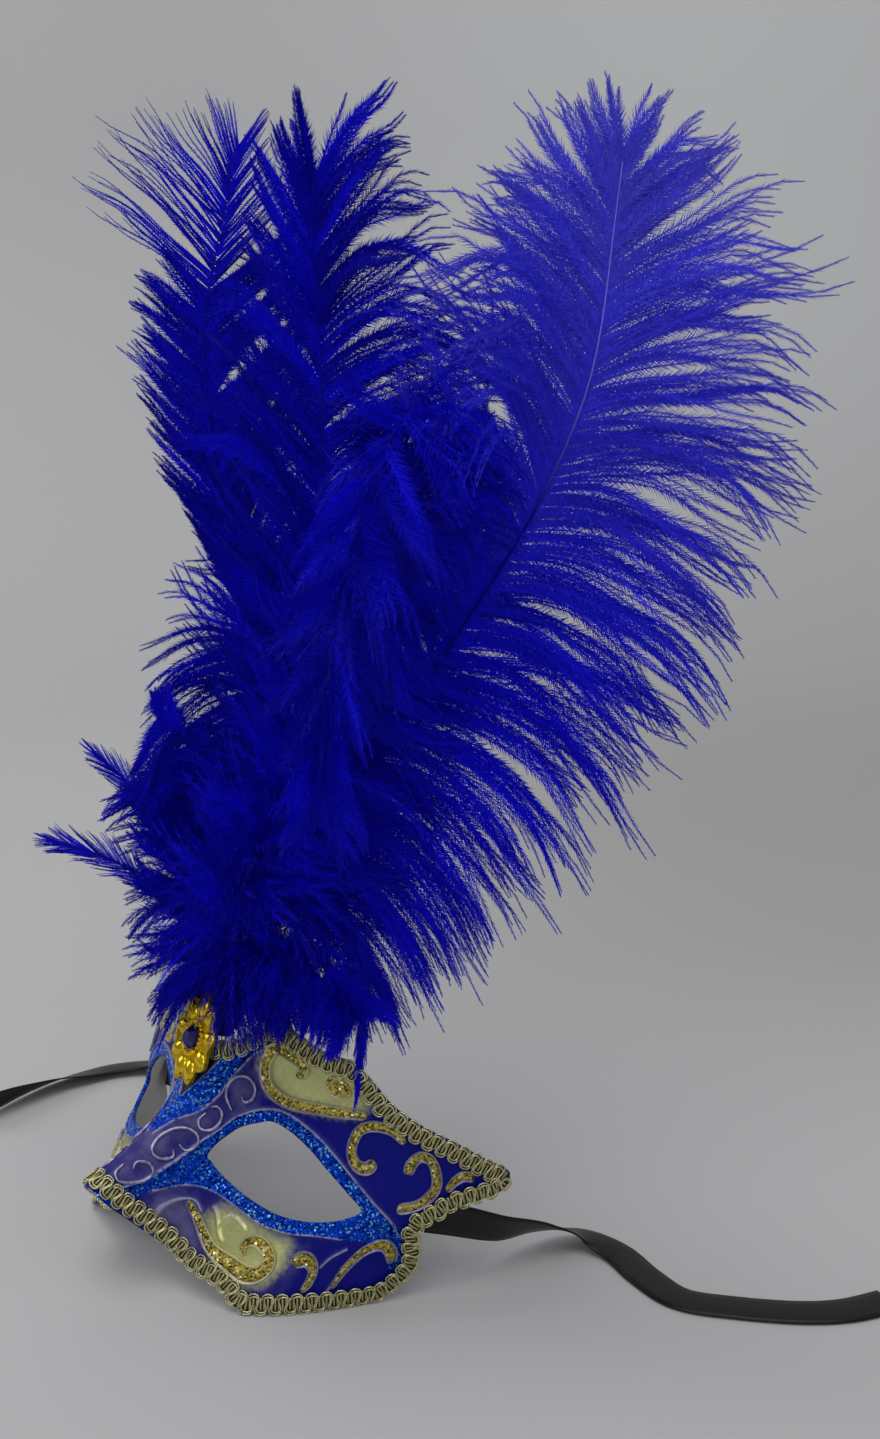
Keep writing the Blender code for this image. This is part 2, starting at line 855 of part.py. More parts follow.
def make_setting(seat):
    outline = oval(JEWEL_WIDTH, JEWEL_HEIGHT, 5 * LOBE_COUNT, LOBE_DEPTH, LOBE_COUNT)
    hole = oval(STONE_WIDTH - 2 * BEAD_WIRE, STONE_HEIGHT - 2 * BEAD_WIRE, 14)
    loops = [outline, hole]
    for k in range(LOBE_COUNT):
        angle = 2 * math.pi * k / LOBE_COUNT
        middle = Vector((0.38 * JEWEL_WIDTH * math.sin(angle), 0.39 * JEWEL_HEIGHT * math.cos(angle)))
        loops.append([middle + point for point in oval(2 * PIERCING_RADIUS, 2.6 * PIERCING_RADIUS, 6)])
    plate = bpy.data.objects.new("plate", flat_outline("plate", loops, JEWEL_THICKNESS))
    PARTS.objects.link(plate)
    plate.parent = seat
    plate.location.z = 0.5 * JEWEL_THICKNESS
    bpy.context.view_layer.update()
    setting = to_mesh_object(plate)
    setting.name = "jewel_setting"
    setting.data.name = "jewel_setting"
    setting.data.materials.append(material("jewel"))
    bpy.ops.mesh.primitive_torus_add(
        major_segments=2 * BEAD_COUNT, minor_segments=5, major_radius=1.0, minor_radius=0.1
    )
    rim = bpy.context.object
    rim.name = "beaded_rim"
    for vertex in rim.data.vertices:
        angle = math.atan2(vertex.co.y, vertex.co.x)
        out = math.hypot(vertex.co.x, vertex.co.y) - 1.0
        bead = BEAD_WIRE * (0.82 + 0.30 * math.cos(BEAD_COUNT * angle)) / 0.1
        wide = 0.5 * STONE_WIDTH + 0.55 * BEAD_WIRE + out * bead
        tall = 0.5 * STONE_HEIGHT + 0.55 * BEAD_WIRE + out * bead
        vertex.co = Vector((wide * math.cos(angle), tall * math.sin(angle), vertex.co.z * bead))
    rim.parent = seat
    rim.location.z = JEWEL_THICKNESS + 0.2 * BEAD_WIRE
    rim.hide_render = True
    rim.display_type = "WIRE"
    CUTTERS.objects.link(rim)
    for group in list(rim.users_collection):
        if group is not CUTTERS:
            group.objects.unlink(rim)
    join = setting.modifiers.new("Rim", "BOOLEAN")
    join.operation = "UNION"
    join.object = rim


def make_stone(seat):
    """An oval stone with a table, a ring of crown facets and a girdle."""
    facets = 12
    body = bmesh.new()
    room = 0.6 * BEAD_WIRE + CLEARANCE
    levels = ((0.0, 0.92), (0.16, 1.0), (0.42, 1.0), (1.0, 0.55))
    rings = []
    for level, share in levels:
        ring = []
        for k in range(facets):
            angle = 2 * math.pi * (k + 0.5) / facets
            wide = (0.5 * STONE_WIDTH - room) * share
            tall = (0.5 * STONE_HEIGHT - room) * share
            ring.append(body.verts.new((wide * math.cos(angle), tall * math.sin(angle), STONE_RISE * level)))
        rings.append(ring)
    for low, high in zip(rings, rings[1:]):
        for k in range(facets):
            body.faces.new((low[k], low[(k + 1) % facets], high[(k + 1) % facets], high[k]))
    body.faces.new(rings[0][::-1])
    body.faces.new(rings[-1])
    mesh = bpy.data.meshes.new("jewel_stone")
    body.to_mesh(mesh)
    body.free()
    stone = add_object("jewel_stone", mesh, "stone", seat)
    stone.location.z = JEWEL_THICKNESS + CLEARANCE


def pad_place(across, deep, above):
    """Point in the jewel seat's frame over the pad's top, from shares of the pad's half sizes."""
    foot = 0.02 * MASK_HEIGHT + 2 * CLEARANCE
    return Vector(
        (
            0.5 * PAD_TOP_WIDTH * across,
            foot + PAD_HEIGHT + above,
            -CLEARANCE - 0.5 * PAD_DEPTH * (1 + deep),
        )
    )


def make_pad(seat):
    """The bound block that holds the quills, behind the jewel and over the dip of the forehead."""
    bpy.ops.mesh.primitive_cube_add(size=1)
    pad = bpy.context.object
    pad.name = "feather_pad"
    pad.data.name = "feather_pad"
    for group in list(pad.users_collection):
        group.objects.unlink(pad)
    PARTS.objects.link(pad)
    pad.data.materials.append(material("pad"))
    top = pad_place(0, 0, 0)
    for vertex in pad.data.vertices:
        width = PAD_TOP_WIDTH if vertex.co.y > 0 else PAD_FOOT_WIDTH
        vertex.co = Vector(
            (
                vertex.co.x * width,
                top.y - PAD_HEIGHT * (0.5 - vertex.co.y),
                top.z + vertex.co.z * PAD_DEPTH,
            )
        )
    pad.parent = seat
    soften = pad.modifiers.new("Soft edges", "BEVEL")
    soften.width = 0.0012
    soften.segments = 2


# Feathers


def plume_frame(seat):
    """Origin over the brow and axes of the plumes: right, up and back as seen from the front left."""
    origin = seat.parent.matrix_world @ face_point(0.0, PLUME_FOOT * MASK_HEIGHT)
    right = Vector((math.cos(FAN_TURN), math.sin(FAN_TURN), 0))
    back = Vector((-math.sin(FAN_TURN), math.cos(FAN_TURN), 0))
    return origin, Matrix((right, Vector((0, 0, 1)), back)).transposed()


def between(table, place, column):
    """Value of one column at a place, read along straight lines between the rows."""
    if place <= table[0][0]:
        return table[0][column]
    for low, high in zip(table, table[1:]):
        if place <= high[0]:
            part = (place - low[0]) / (high[0] - low[0])
            return low[column] + (high[column] - low[column]) * part
    return table[-1][column]


class Quill:
    """A smooth quill that can be asked for its point and directions at a share of its length."""

    def __init__(self, points, right):
        self.path = smooth_path(points, 0.004)
        self.right = right
        self.places = [0.0]
        for start, end in zip(self.path, self.path[1:]):
            self.places.append(self.places[-1] + (end - start).length)

    def at(self, share):
        wanted = min(max(share, 0.0), 1.0) * self.places[-1]
        index = 0
        while index < len(self.path) - 2 and self.places[index + 1] < wanted:
            index += 1
        part = (wanted - self.places[index]) / (self.places[index + 1] - self.places[index])
        point = self.path[index].lerp(self.path[index + 1], part)
        low = self.path[max(index - 1, 0)]
        high = self.path[min(index + 2, len(self.path) - 1)]
        run = (high - low).normalized()
        across = (self.right - run * self.right.dot(run)).normalized()
        return point, run, across


def barb_point(quill, feather, share, side, part, back):
    """Point at a share of one barb's length. side is 1 for the right vane and -1 for the left."""
    point, run, across = quill.at(share)
    length = between(feather["barbs"], share, 2 if side > 0 else 1) * PLUME_HEIGHT
    angle = math.radians(between(((0, feather["angle"][0]), (1, feather["angle"][1])), share, 1))
    droop = feather["droop"][1 if side > 0 else 0]
    reach = run * math.cos(angle) + across * side * math.sin(angle)
    fall = Vector((0, 0, -1)) * droop + back * feather["curl"]
    start = point + across * side * 0.5 * QUILL_WIDTH
    return start + (reach * part + fall * part**2) * length


def make_feather(name, feather, seat):
    origin, axes = plume_frame(seat)
    back = axes @ Vector((0, 0, 1))
    base = seat.matrix_world @ pad_place(*feather["seat"], 3 * CLEARANCE)
    stations = [base] + [origin + axes @ (Vector(place) * PLUME_HEIGHT) for place in feather["quill"]]
    quill = Quill(stations, axes @ Vector((1, 0, 0)))
    first = feather["barbs"][0][0]
    pitch = (0.985 - first) / feather["locks"]
    shares = [first * k / 5 for k in range(5)]
    for k in range(feather["locks"]):
        shares += [first + pitch * k, first + pitch * (k + LOCK_FILL)]
    points, faces = [], []
    for share in shares:
        point, _, across = quill.at(share)
        points += [point - across * 0.5 * QUILL_WIDTH, point + across * 0.5 * QUILL_WIDTH]
    for k in range(1, len(shares)):
        faces.append((2 * k - 2, 2 * k - 1, 2 * k + 1, 2 * k))
    for side in (-1, 1):
        for k in range(feather["locks"]):
            low = 5 + 2 * k
            corner = [2 * low + (side > 0), 2 * low + 2 + (side > 0)]
            middle = 0.5 * (shares[low] + shares[low + 1])
            half = 0.5 * (shares[low + 1] - shares[low])
            for step in range(1, LOCK_STEPS):
                part = step / LOCK_STEPS
                width = half * (1 - 0.6 * part)
                new = [len(points), len(points) + 1]
                for share in (middle - width, middle + width):
                    points.append(barb_point(quill, feather, share, side, part, back))
                quad = (corner[0], new[0], new[1], corner[1])
                faces.append(quad if side > 0 else quad[::-1])
                corner = new
            tip = (corner[0], len(points), corner[1])
            points.append(barb_point(quill, feather, middle, side, 1.0, back))
            faces.append(tip if side > 0 else tip[::-1])
    obj = add_object(name, mesh_from(name, points, faces), "feather", ROOT)
    solidify(obj, VANE_THICKNESS, 0.0)


# Ribbons


def make_ribbon(name, route, side, frame):
    twist = route[0][3]
    stations = []
    for along, up, inwards in RIBBON_ROOTS:
        place = (along * HALF_GIRTH, up * MASK_HEIGHT)
        behind = WALL + RIBBON_THICKNESS + inwards
        root = face_point(*place) - face_normal(*place) * behind
        stations.append(Vector((*(frame.matrix_world @ Vector((root.x * side, root.y, root.z))), twist)))
    stations += [Vector(row) for row in route]
    path = smooth_path(stations, RIBBON_STEP)
    points, faces = [], []
    for index, place in enumerate(path):
        run = path[min(index + 1, len(path) - 1)].xyz - path[max(index - 1, 0)].xyz
        level = Vector((run.y, -run.x, 0)).normalized()
        upward = run.normalized().cross(level) * -1
        turn = math.radians(place.w)
        across = level * math.cos(turn) + upward * math.sin(turn)
        points += [place.xyz - across * 0.5 * RIBBON_WIDTH, place.xyz + across * 0.5 * RIBBON_WIDTH]
        if index:
            last = len(points) - 1
            faces.append((last - 3, last - 2, last, last - 1))
    ribbon = add_object(name, mesh_from(name, points, faces), "ribbon", ROOT)
    solidify(ribbon, RIBBON_THICKNESS, 0.0)


def empty(name, parent=None):
    made = bpy.data.objects.new(name, None)
    PARTS.objects.link(made)
    made.parent = parent
    return made


def corners_of(names):
    bpy.context.view_layer.update()
    graph = bpy.context.evaluated_depsgraph_get()
    wholes = [bpy.data.objects[name].evaluated_get(graph) for name in names]
    return [whole.matrix_world @ vertex.co for whole in wholes for vertex in whole.data.vertices]


def rest_mask():
    """Sets the leaning mask down on the level stretch of its braid."""
    MASK.location.z -= min(corner.z for corner in corners_of(["mask_shell", "edge_braid"]))
    bpy.context.view_layer.update()


def centre_part():
    """Brings the middle of the box round the mask and its plumes over the origin."""
    names = [obj.name for obj in PARTS.all_objects if obj.type == "MESH" and obj.name not in RIBBON_ROUTES]
    corners = corners_of(names)
    for axis in (0, 1):
        values = [corner[axis] for corner in corners]
        ROOT.location[axis] = -0.5 * (min(values) + max(values))


clear_scene()
PARTS = bpy.data.collections.new("masquerade_mask")
CUTTERS = bpy.data.collections.new("cutters")
for collection in (PARTS, CUTTERS):
    bpy.context.scene.collection.children.link(collection)
ROOT = empty("standing_frame")
MASK = empty("mask_frame", ROOT)
MASK.rotation_euler.x = -LEAN
bpy.context.view_layer.update()
make_shell(MASK)
make_braid(MASK)
rest_mask()
make_scrolls(MASK)
SEAT = jewel_seat(MASK)
bpy.context.view_layer.update()
make_setting(SEAT)
make_stone(SEAT)
make_pad(SEAT)
for feather_name, feather_sizes in FEATHERS.items():
    make_feather(feather_name, feather_sizes, SEAT)
make_ribbon("ribbon_left", RIBBON_ROUTES["ribbon_left"], 1, MASK)
make_ribbon("ribbon_right", RIBBON_ROUTES["ribbon_right"], -1, MASK)
centre_part()
print("mask frame at", tuple(MASK.matrix_world.translation))
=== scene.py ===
# A masquerade half mask: moulded shell, gold scrollwork, jewel, ostrich plumes and satin ties.
import json
import math
import random

import bmesh
import bpy
import numpy as np
from mathutils import Matrix, Vector
from mathutils.geometry import delaunay_2d_cdt

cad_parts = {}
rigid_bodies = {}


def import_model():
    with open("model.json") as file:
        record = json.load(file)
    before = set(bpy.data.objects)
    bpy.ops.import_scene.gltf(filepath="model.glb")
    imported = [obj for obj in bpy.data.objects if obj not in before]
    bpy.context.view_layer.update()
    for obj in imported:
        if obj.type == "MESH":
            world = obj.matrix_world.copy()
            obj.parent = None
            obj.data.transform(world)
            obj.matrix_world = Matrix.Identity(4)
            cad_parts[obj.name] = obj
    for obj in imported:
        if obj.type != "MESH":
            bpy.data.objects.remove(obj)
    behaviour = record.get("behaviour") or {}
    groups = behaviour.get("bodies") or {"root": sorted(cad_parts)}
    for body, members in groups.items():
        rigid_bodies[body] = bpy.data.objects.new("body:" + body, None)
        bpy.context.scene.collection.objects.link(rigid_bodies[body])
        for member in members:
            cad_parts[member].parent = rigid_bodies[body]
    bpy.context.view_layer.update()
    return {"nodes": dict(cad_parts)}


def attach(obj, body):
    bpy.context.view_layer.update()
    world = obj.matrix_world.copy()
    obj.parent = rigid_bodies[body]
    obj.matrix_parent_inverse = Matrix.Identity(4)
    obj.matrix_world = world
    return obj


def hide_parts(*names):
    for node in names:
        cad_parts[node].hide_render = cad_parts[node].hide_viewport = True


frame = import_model()

# Where the leaning mask's own frame stands, and how far it leans back
standing = {"right": -0.0294, "back": -0.03191, "up": 0.04864, "lean": math.radians(26.5)}


def fromMask(point):
    # from the mask's own frame, face towards -Y, to the frame it stands in
    turn, rise = math.cos(standing["lean"]), math.sin(standing["lean"])
    return Vector(
        (
            point.x + standing["right"],
            point.y * turn + point.z * rise + standing["back"],
            point.z * turn - point.y * rise + standing["up"],
        )
    )


# Camera at the photograph's angle
cameraPlace = {
    "position": (0.40369, -0.31026, 0.30064),
    "heading": 48.4,
    "pitch": 13.2,
    "lens": 41.4,
    "sensor": 36.0,
}


def addCamera():
    made = bpy.data.cameras.new("camera")
    made.sensor_fit = "VERTICAL"
    made.sensor_height = cameraPlace["sensor"]
    made.lens = cameraPlace["lens"]
    holder = bpy.data.objects.new("camera", made)
    holder.location = cameraPlace["position"]
    holder.rotation_euler = (
        math.radians(90 - cameraPlace["pitch"]),
        0,
        math.radians(cameraPlace["heading"]),
    )
    bpy.context.collection.objects.link(holder)
    bpy.context.scene.camera = holder


addCamera()
bpy.context.scene.view_settings.view_transform = "Standard"


# Shader helpers


def newMaterial(name):
    made = bpy.data.materials.new(name)
    made.use_nodes = True
    shader = made.node_tree.nodes["Principled BSDF"]
    return made, made.node_tree, shader


def setNode(tree, node, inputs):
    # each input takes a link or a plain value
    for key, value in inputs.items():
        if isinstance(value, bpy.types.NodeSocket):
            tree.links.new(value, node.inputs[key])
        else:
            node.inputs[key].default_value = value


def addNode(tree, kind, inputs=None, **settings):
    node = tree.nodes.new(kind)
    for key, value in settings.items():
        setattr(node, key, value)
    setNode(tree, node, inputs or {})
    return node


def addMath(tree, operation, first, second=0.0, clamp=False):
    node = addNode(tree, "ShaderNodeMath", {0: first, 1: second}, operation=operation)
    node.use_clamp = clamp
    return node.outputs[0]


def addVector(tree, operation, first, second=None, scale=None):
    inputs = {0: first, 1: second, "Scale": scale}
    inputs = {key: value for key, value in inputs.items() if value is not None}
    return addNode(tree, "ShaderNodeVectorMath", inputs, operation=operation).outputs["Vector"]


def mixColour(tree, factor, first, second):
    inputs = {0: factor, 6: first, 7: second}
    return addNode(tree, "ShaderNodeMix", inputs, data_type="RGBA").outputs[2]


def mixValue(tree, factor, first, second):
    inputs = {0: factor, 2: first, 3: second}
    return addNode(tree, "ShaderNodeMix", inputs, data_type="FLOAT").outputs[0]


def mixVector(tree, factor, first, second):
    inputs = {0: factor, 4: first, 5: second}
    return addNode(tree, "ShaderNodeMix", inputs, data_type="VECTOR").outputs[1]


def readAttribute(tree, name):
    return addNode(tree, "ShaderNodeAttribute", attribute_name=name).outputs["Fac"]


def addRange(tree, value, low, high, toLow=0.0, toHigh=1.0):
    inputs = {"Value": value, "From Min": low, "From Max": high, "To Min": toLow, "To Max": toHigh}
    return addNode(tree, "ShaderNodeMapRange", inputs, interpolation_type="SMOOTHSTEP").outputs[0]


def ownPlace(tree):
    return addNode(tree, "ShaderNodeTexCoord").outputs["Object"]


def addNoise(tree, vector, scale, detail, roughness=0.5):
    inputs = {"Vector": vector, "Scale": scale, "Detail": detail, "Roughness": roughness}
    return addNode(tree, "ShaderNodeTexNoise", inputs).outputs[0]


def addBump(tree, height, strength, distance):
    inputs = {"Height": height, "Strength": strength, "Distance": distance}
    return addNode(tree, "ShaderNodeBump", inputs).outputs[0]


def linkMesh(name, mesh, finish):
    mesh.materials.clear()
    mesh.materials.append(finish)
    piece = bpy.data.objects.new(name, mesh)
    bpy.context.collection.objects.link(piece)
    return piece


def writeValues(mesh, values):
    # one number for each point, under each name
    for key, numbers in values.items():
        layer = mesh.attributes.new(key, "FLOAT", "POINT")
        layer.data.foreach_set("value", np.asarray(numbers, dtype=np.float32))


def writeVectors(mesh, key, vectors):
    layer = mesh.attributes.new(key, "FLOAT_VECTOR", "POINT")
    layer.data.foreach_set("vector", np.array([tuple(v) for v in vectors], dtype=np.float32).ravel())


def turnOutwards(mesh):
    # every face turned outwards, and smooth
    body = bmesh.new()
    body.from_mesh(mesh)
    bmesh.ops.recalc_face_normals(body, faces=body.faces)
    body.to_mesh(mesh)
    body.free()
    mesh.shade_smooth()


def smoothPath(points, step):
    # evenly spread points of a Catmull-Rom curve through the given ones
    path = []
    last = len(points) - 1
    for index in range(last):
        before, start, end, after = (points[min(max(index + k, 0), last)] for k in (-1, 0, 1, 2))
        count = max(1, round((end - start).to_3d().length / step))
        for k in range(count):
            part = k / count
            path.append(
                0.5
                * (
                    2 * start
                    + (end - before) * part
                    + (2 * before - 5 * start + 4 * end - after) * part**2
                    + (3 * start - before - 3 * end + after) * part**3
                )
            )
    return path + [points[-1]]


# Satin ribbons

ribbonSizes = {
    "width": 0.012,
    "thickness": 0.0005,
    "step": 0.002,
    "cup": 0.0005,
    "across": 6,
    "behindWall": 0.001,
}
ribbonRoots = ((0.735, -0.050, 0.0012), (0.800, -0.062, 0.0024))
ribbonRoutes = {
    "ribbon_left": (
        (0.0775, 0.0450, 0.0225, 78.0),
        (0.0825, 0.0600, 0.0160, 62.0),
        (0.0835, 0.0780, 0.0095, 34.0),
        (0.0880, 0.0915, 0.0040, 12.0),
        (0.1000, 0.0960, 0.0012, 3.0),
        (0.1160, 0.0925, 0.0008, 0.0),
        (0.1320, 0.0915, 0.0008, 0.0),
        (0.1470, 0.1010, 0.0008, 0.0),
        (0.1620, 0.1140, 0.0008, 0.0),
        (0.1710, 0.1260, 0.0008, 0.0),
        (0.1765, 0.1400, 0.0008, 0.0),
    ),
    "ribbon_right": (
        (-0.0780, 0.0455, 0.0220, -76.0),
        (-0.0960, 0.0560, 0.0130, -50.0),
        (-0.1120, 0.0600, 0.0065, -26.0),
        (-0.1250, 0.0560, 0.0030, -12.0),
        (-0.1330, 0.0440, 0.0020, -8.0),
        (-0.1355, 0.0310, 0.0024, -14.0),
        (-0.1360, 0.0180, 0.0036, -28.0),
        (-0.1340, 0.0040, 0.0048, -42.0),
        (-0.1310, -0.0100, 0.0058, -58.0),
        (-0.1290, -0.0240, 0.0060, -62.0),
    ),
}

# The face: half girth and height, and the numbers of its form
face = {
    "halfGirth": 0.120,
    "height": 0.100,
    "radius": 0.0905,
    "depth": 0.0792,
    "cheekTaper": 6.0,
    "bridgeRise": 0.00535,
    "noseSlope": 0.752,
    "noseHalfWidth": 0.0117,
    "noseFullness": 2.4,
    "browLean": 0.135,
    "cheekLean": 0.129,
    "ease": 0.008,
    "wall": 0.0016,
}


def softRamp(value):
    return face["ease"] * math.log1p(math.exp(value / face["ease"]))


def facePoint(along, up):
    # outer face at a place on the unrolled face, in the mask's own frame
    angle = along / face["radius"]
    below = softRamp(-up)
    narrowing = 1 - face["cheekTaper"] * below * math.sin(angle) ** 2
    ridge = math.exp(-abs(along / face["noseHalfWidth"]) ** face["noseFullness"])
    nose = (face["bridgeRise"] + face["noseSlope"] * below) * ridge
    depth = face["depth"] * (1 - math.cos(angle)) - nose
    lean = face["browLean"] * softRamp(up) + face["cheekLean"] * below
    return Vector((face["radius"] * math.sin(angle) * narrowing, depth - lean, up))


def faceNormal(along, up):
    nudge = 0.0002
    across = facePoint(along + nudge, up) - facePoint(along - nudge, up)
    upward = facePoint(along, up + nudge) - facePoint(along, up - nudge)
    return across.cross(upward).normalized()


def satinFinish():
    made, tree, shader = newMaterial("black_satin")
    place = addNode(tree, "ShaderNodeUVMap", uv_map="weave").outputs[0]
    threads = addNode(tree, "ShaderNodeMapping", {"Vector": place, "Scale": (900, 60, 1)}).outputs[0]
    fine = addNoise(tree, threads, 1.0, 3.0)
    ribs = addNode(tree, "ShaderNodeTexWave", {"Vector": place, "Scale": 260.0, "Distortion": 1.0})
    ribs.bands_direction = "X"
    height = addMath(tree, "ADD", fine, addMath(tree, "MULTIPLY", ribs.outputs["Fac"], 0.6))
    lit = addRange(tree, fine, 0.3, 0.7)
    inputs = {
        "Base Color": mixColour(tree, lit, (0.002, 0.002, 0.003, 1), (0.006, 0.006, 0.008, 1)),
        "Roughness": addRange(tree, fine, 0.2, 0.8, 0.30, 0.44),
        "Normal": addBump(tree, height, 0.25, 0.0001),
        "Specular IOR Level": 0.3,
    }
    setNode(tree, shader, inputs)
    return made


def makeRibbon(name, route, side, finish):
    twist = route[0][3]
    stations = []
    for along, up, inwards in ribbonRoots:
        place = (along * face["halfGirth"], up * face["height"])
        root = facePoint(*place) - faceNormal(*place) * (face["wall"] + ribbonSizes["behindWall"] + inwards)
        root = fromMask(Vector((root.x * side, root.y, root.z)))
        stations.append(Vector((*root, twist)))
    offset = Vector((standing["right"], standing["back"], 0, 0))
    stations += [Vector(row) + offset for row in route]
    path = smoothPath(stations, ribbonSizes["step"])
    count = ribbonSizes["across"]
    points, faces, places = [], [], []
    travelled = 0.0
    for index, place in enumerate(path):
        ahead = path[min(index + 1, len(path) - 1)].xyz
        behind = path[max(index - 1, 0)].xyz
        run = (ahead - behind).normalized()
        level = Vector((run.y, -run.x, 0)).normalized()
        upward = level.cross(run)
        turn = math.radians(place.w)
        across = level * math.cos(turn) + upward * math.sin(turn)
        normal = across.cross(run)
        for k in range(count + 1):
            part = 2 * k / count - 1
            cup = ribbonSizes["cup"] * (1 - part * part)
            points.append(place.xyz + across * 0.5 * ribbonSizes["width"] * part + normal * cup * 0.6)
            places.append((0.5 * ribbonSizes["width"] * part, travelled))
        travelled += (ahead - place.xyz).length
        if index:
            for k in range(count):
                low = (index - 1) * (count + 1) + k
                faces.append((low, low + 1, low + count + 2, low + count + 1))
    mesh = bpy.data.meshes.new(name)
    mesh.from_pydata(points, [], faces)
    layer = mesh.uv_layers.new(name="weave")
    for loop in mesh.loops:
        layer.data[loop.index].uv = places[loop.vertex_index]
    mesh.shade_smooth()
    ribbon = linkMesh(name + "_satin", mesh, finish)
    wall = ribbon.modifiers.new("wall", "SOLIDIFY")
    wall.thickness = ribbonSizes["thickness"]
    wall.offset = 0
    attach(ribbon, "root")
    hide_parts(name)


satin = satinFinish()
for ribbonName, ribbonSide in (("ribbon_left", 1), ("ribbon_right", -1)):
    makeRibbon(ribbonName, ribbonRoutes[ribbonName], ribbonSide, satin)
print("ribbons laid")

# Ostrich plumes. Quill stations are (right, up, back) shares of the plume height from the middle of
# the brow. Barb rows are (place on the quill, left length, right length, left angle, right angle,
# left droop, right droop), lengths as shares and angles from the quill in degrees. Locks of barbs draw
# together by their clump and differ by scatter and around. A crowd above 1 sets more barbs low on the
# quill. Glow is painted light that lightens all of them, and haze painted light that pales those near
# the tip. Past bareFrom the vane is thin, and past paleFrom the quill is pale.

plumeSizes = {
    "height": 0.280,
    "foot": (0.0, 0.42),
    "turn": 48.0,
    "steps": 9,
    "waves": 1.4,
    "barbWidth": 0.00022,
    "barbuleWidth": 0.00033,
    "quillWidth": 0.0019,
    "quillLift": 0.0009,
    "bareGaps": 0.2,
    "strays": 0.05,
    "strayClump": 0.1,
}
plumeColours = {
    "deep": (0.0015, 0.0010, 0.33, 1),
    "bright": (0.006, 0.004, 0.95, 1),
    "tip": (0.001, 0.0006, 0.20, 1),
    "pale": (0.33, 0.31, 1.0, 1),
    "sheen": (0.04, 0.04, 1.0, 1),
}

# What holds for every feather, tuft or wisp that doesn't say otherwise
usualFeather = {
    "lock": 5,
    "wave": 0.22,
    "crowd": 1.0,
    "ridge": 0.0,
    "paintedLight": 0.0,
    "paintedTipLight": 0.0,
    "bareFrom": 2.0,
    "paleFrom": 2.0,
}
usualTuft = {"clump": 0.3, "fuzz": 0.0048, "spacing": 0.00036, "root": 4.0, "scatter": 0.30, "around": 1.3}
usualWisp = {
    "barbs": (
        (0.40, 0.04, 0.04, 30, 30, 0, 0),
        (0.80, 0.05, 0.05, 22, 22, 0, 0),
        (1.0, 0.02, 0.02, 8, 8, 0, 0),
    ),
    "perSide": 80,
    "lock": 4,
    "clump": 0.3,
    "fuzz": 0.0009,
    "spacing": 0.0004,
    "root": 1.5,
    "scatter": 0.05,
    "around": 0.1,
}

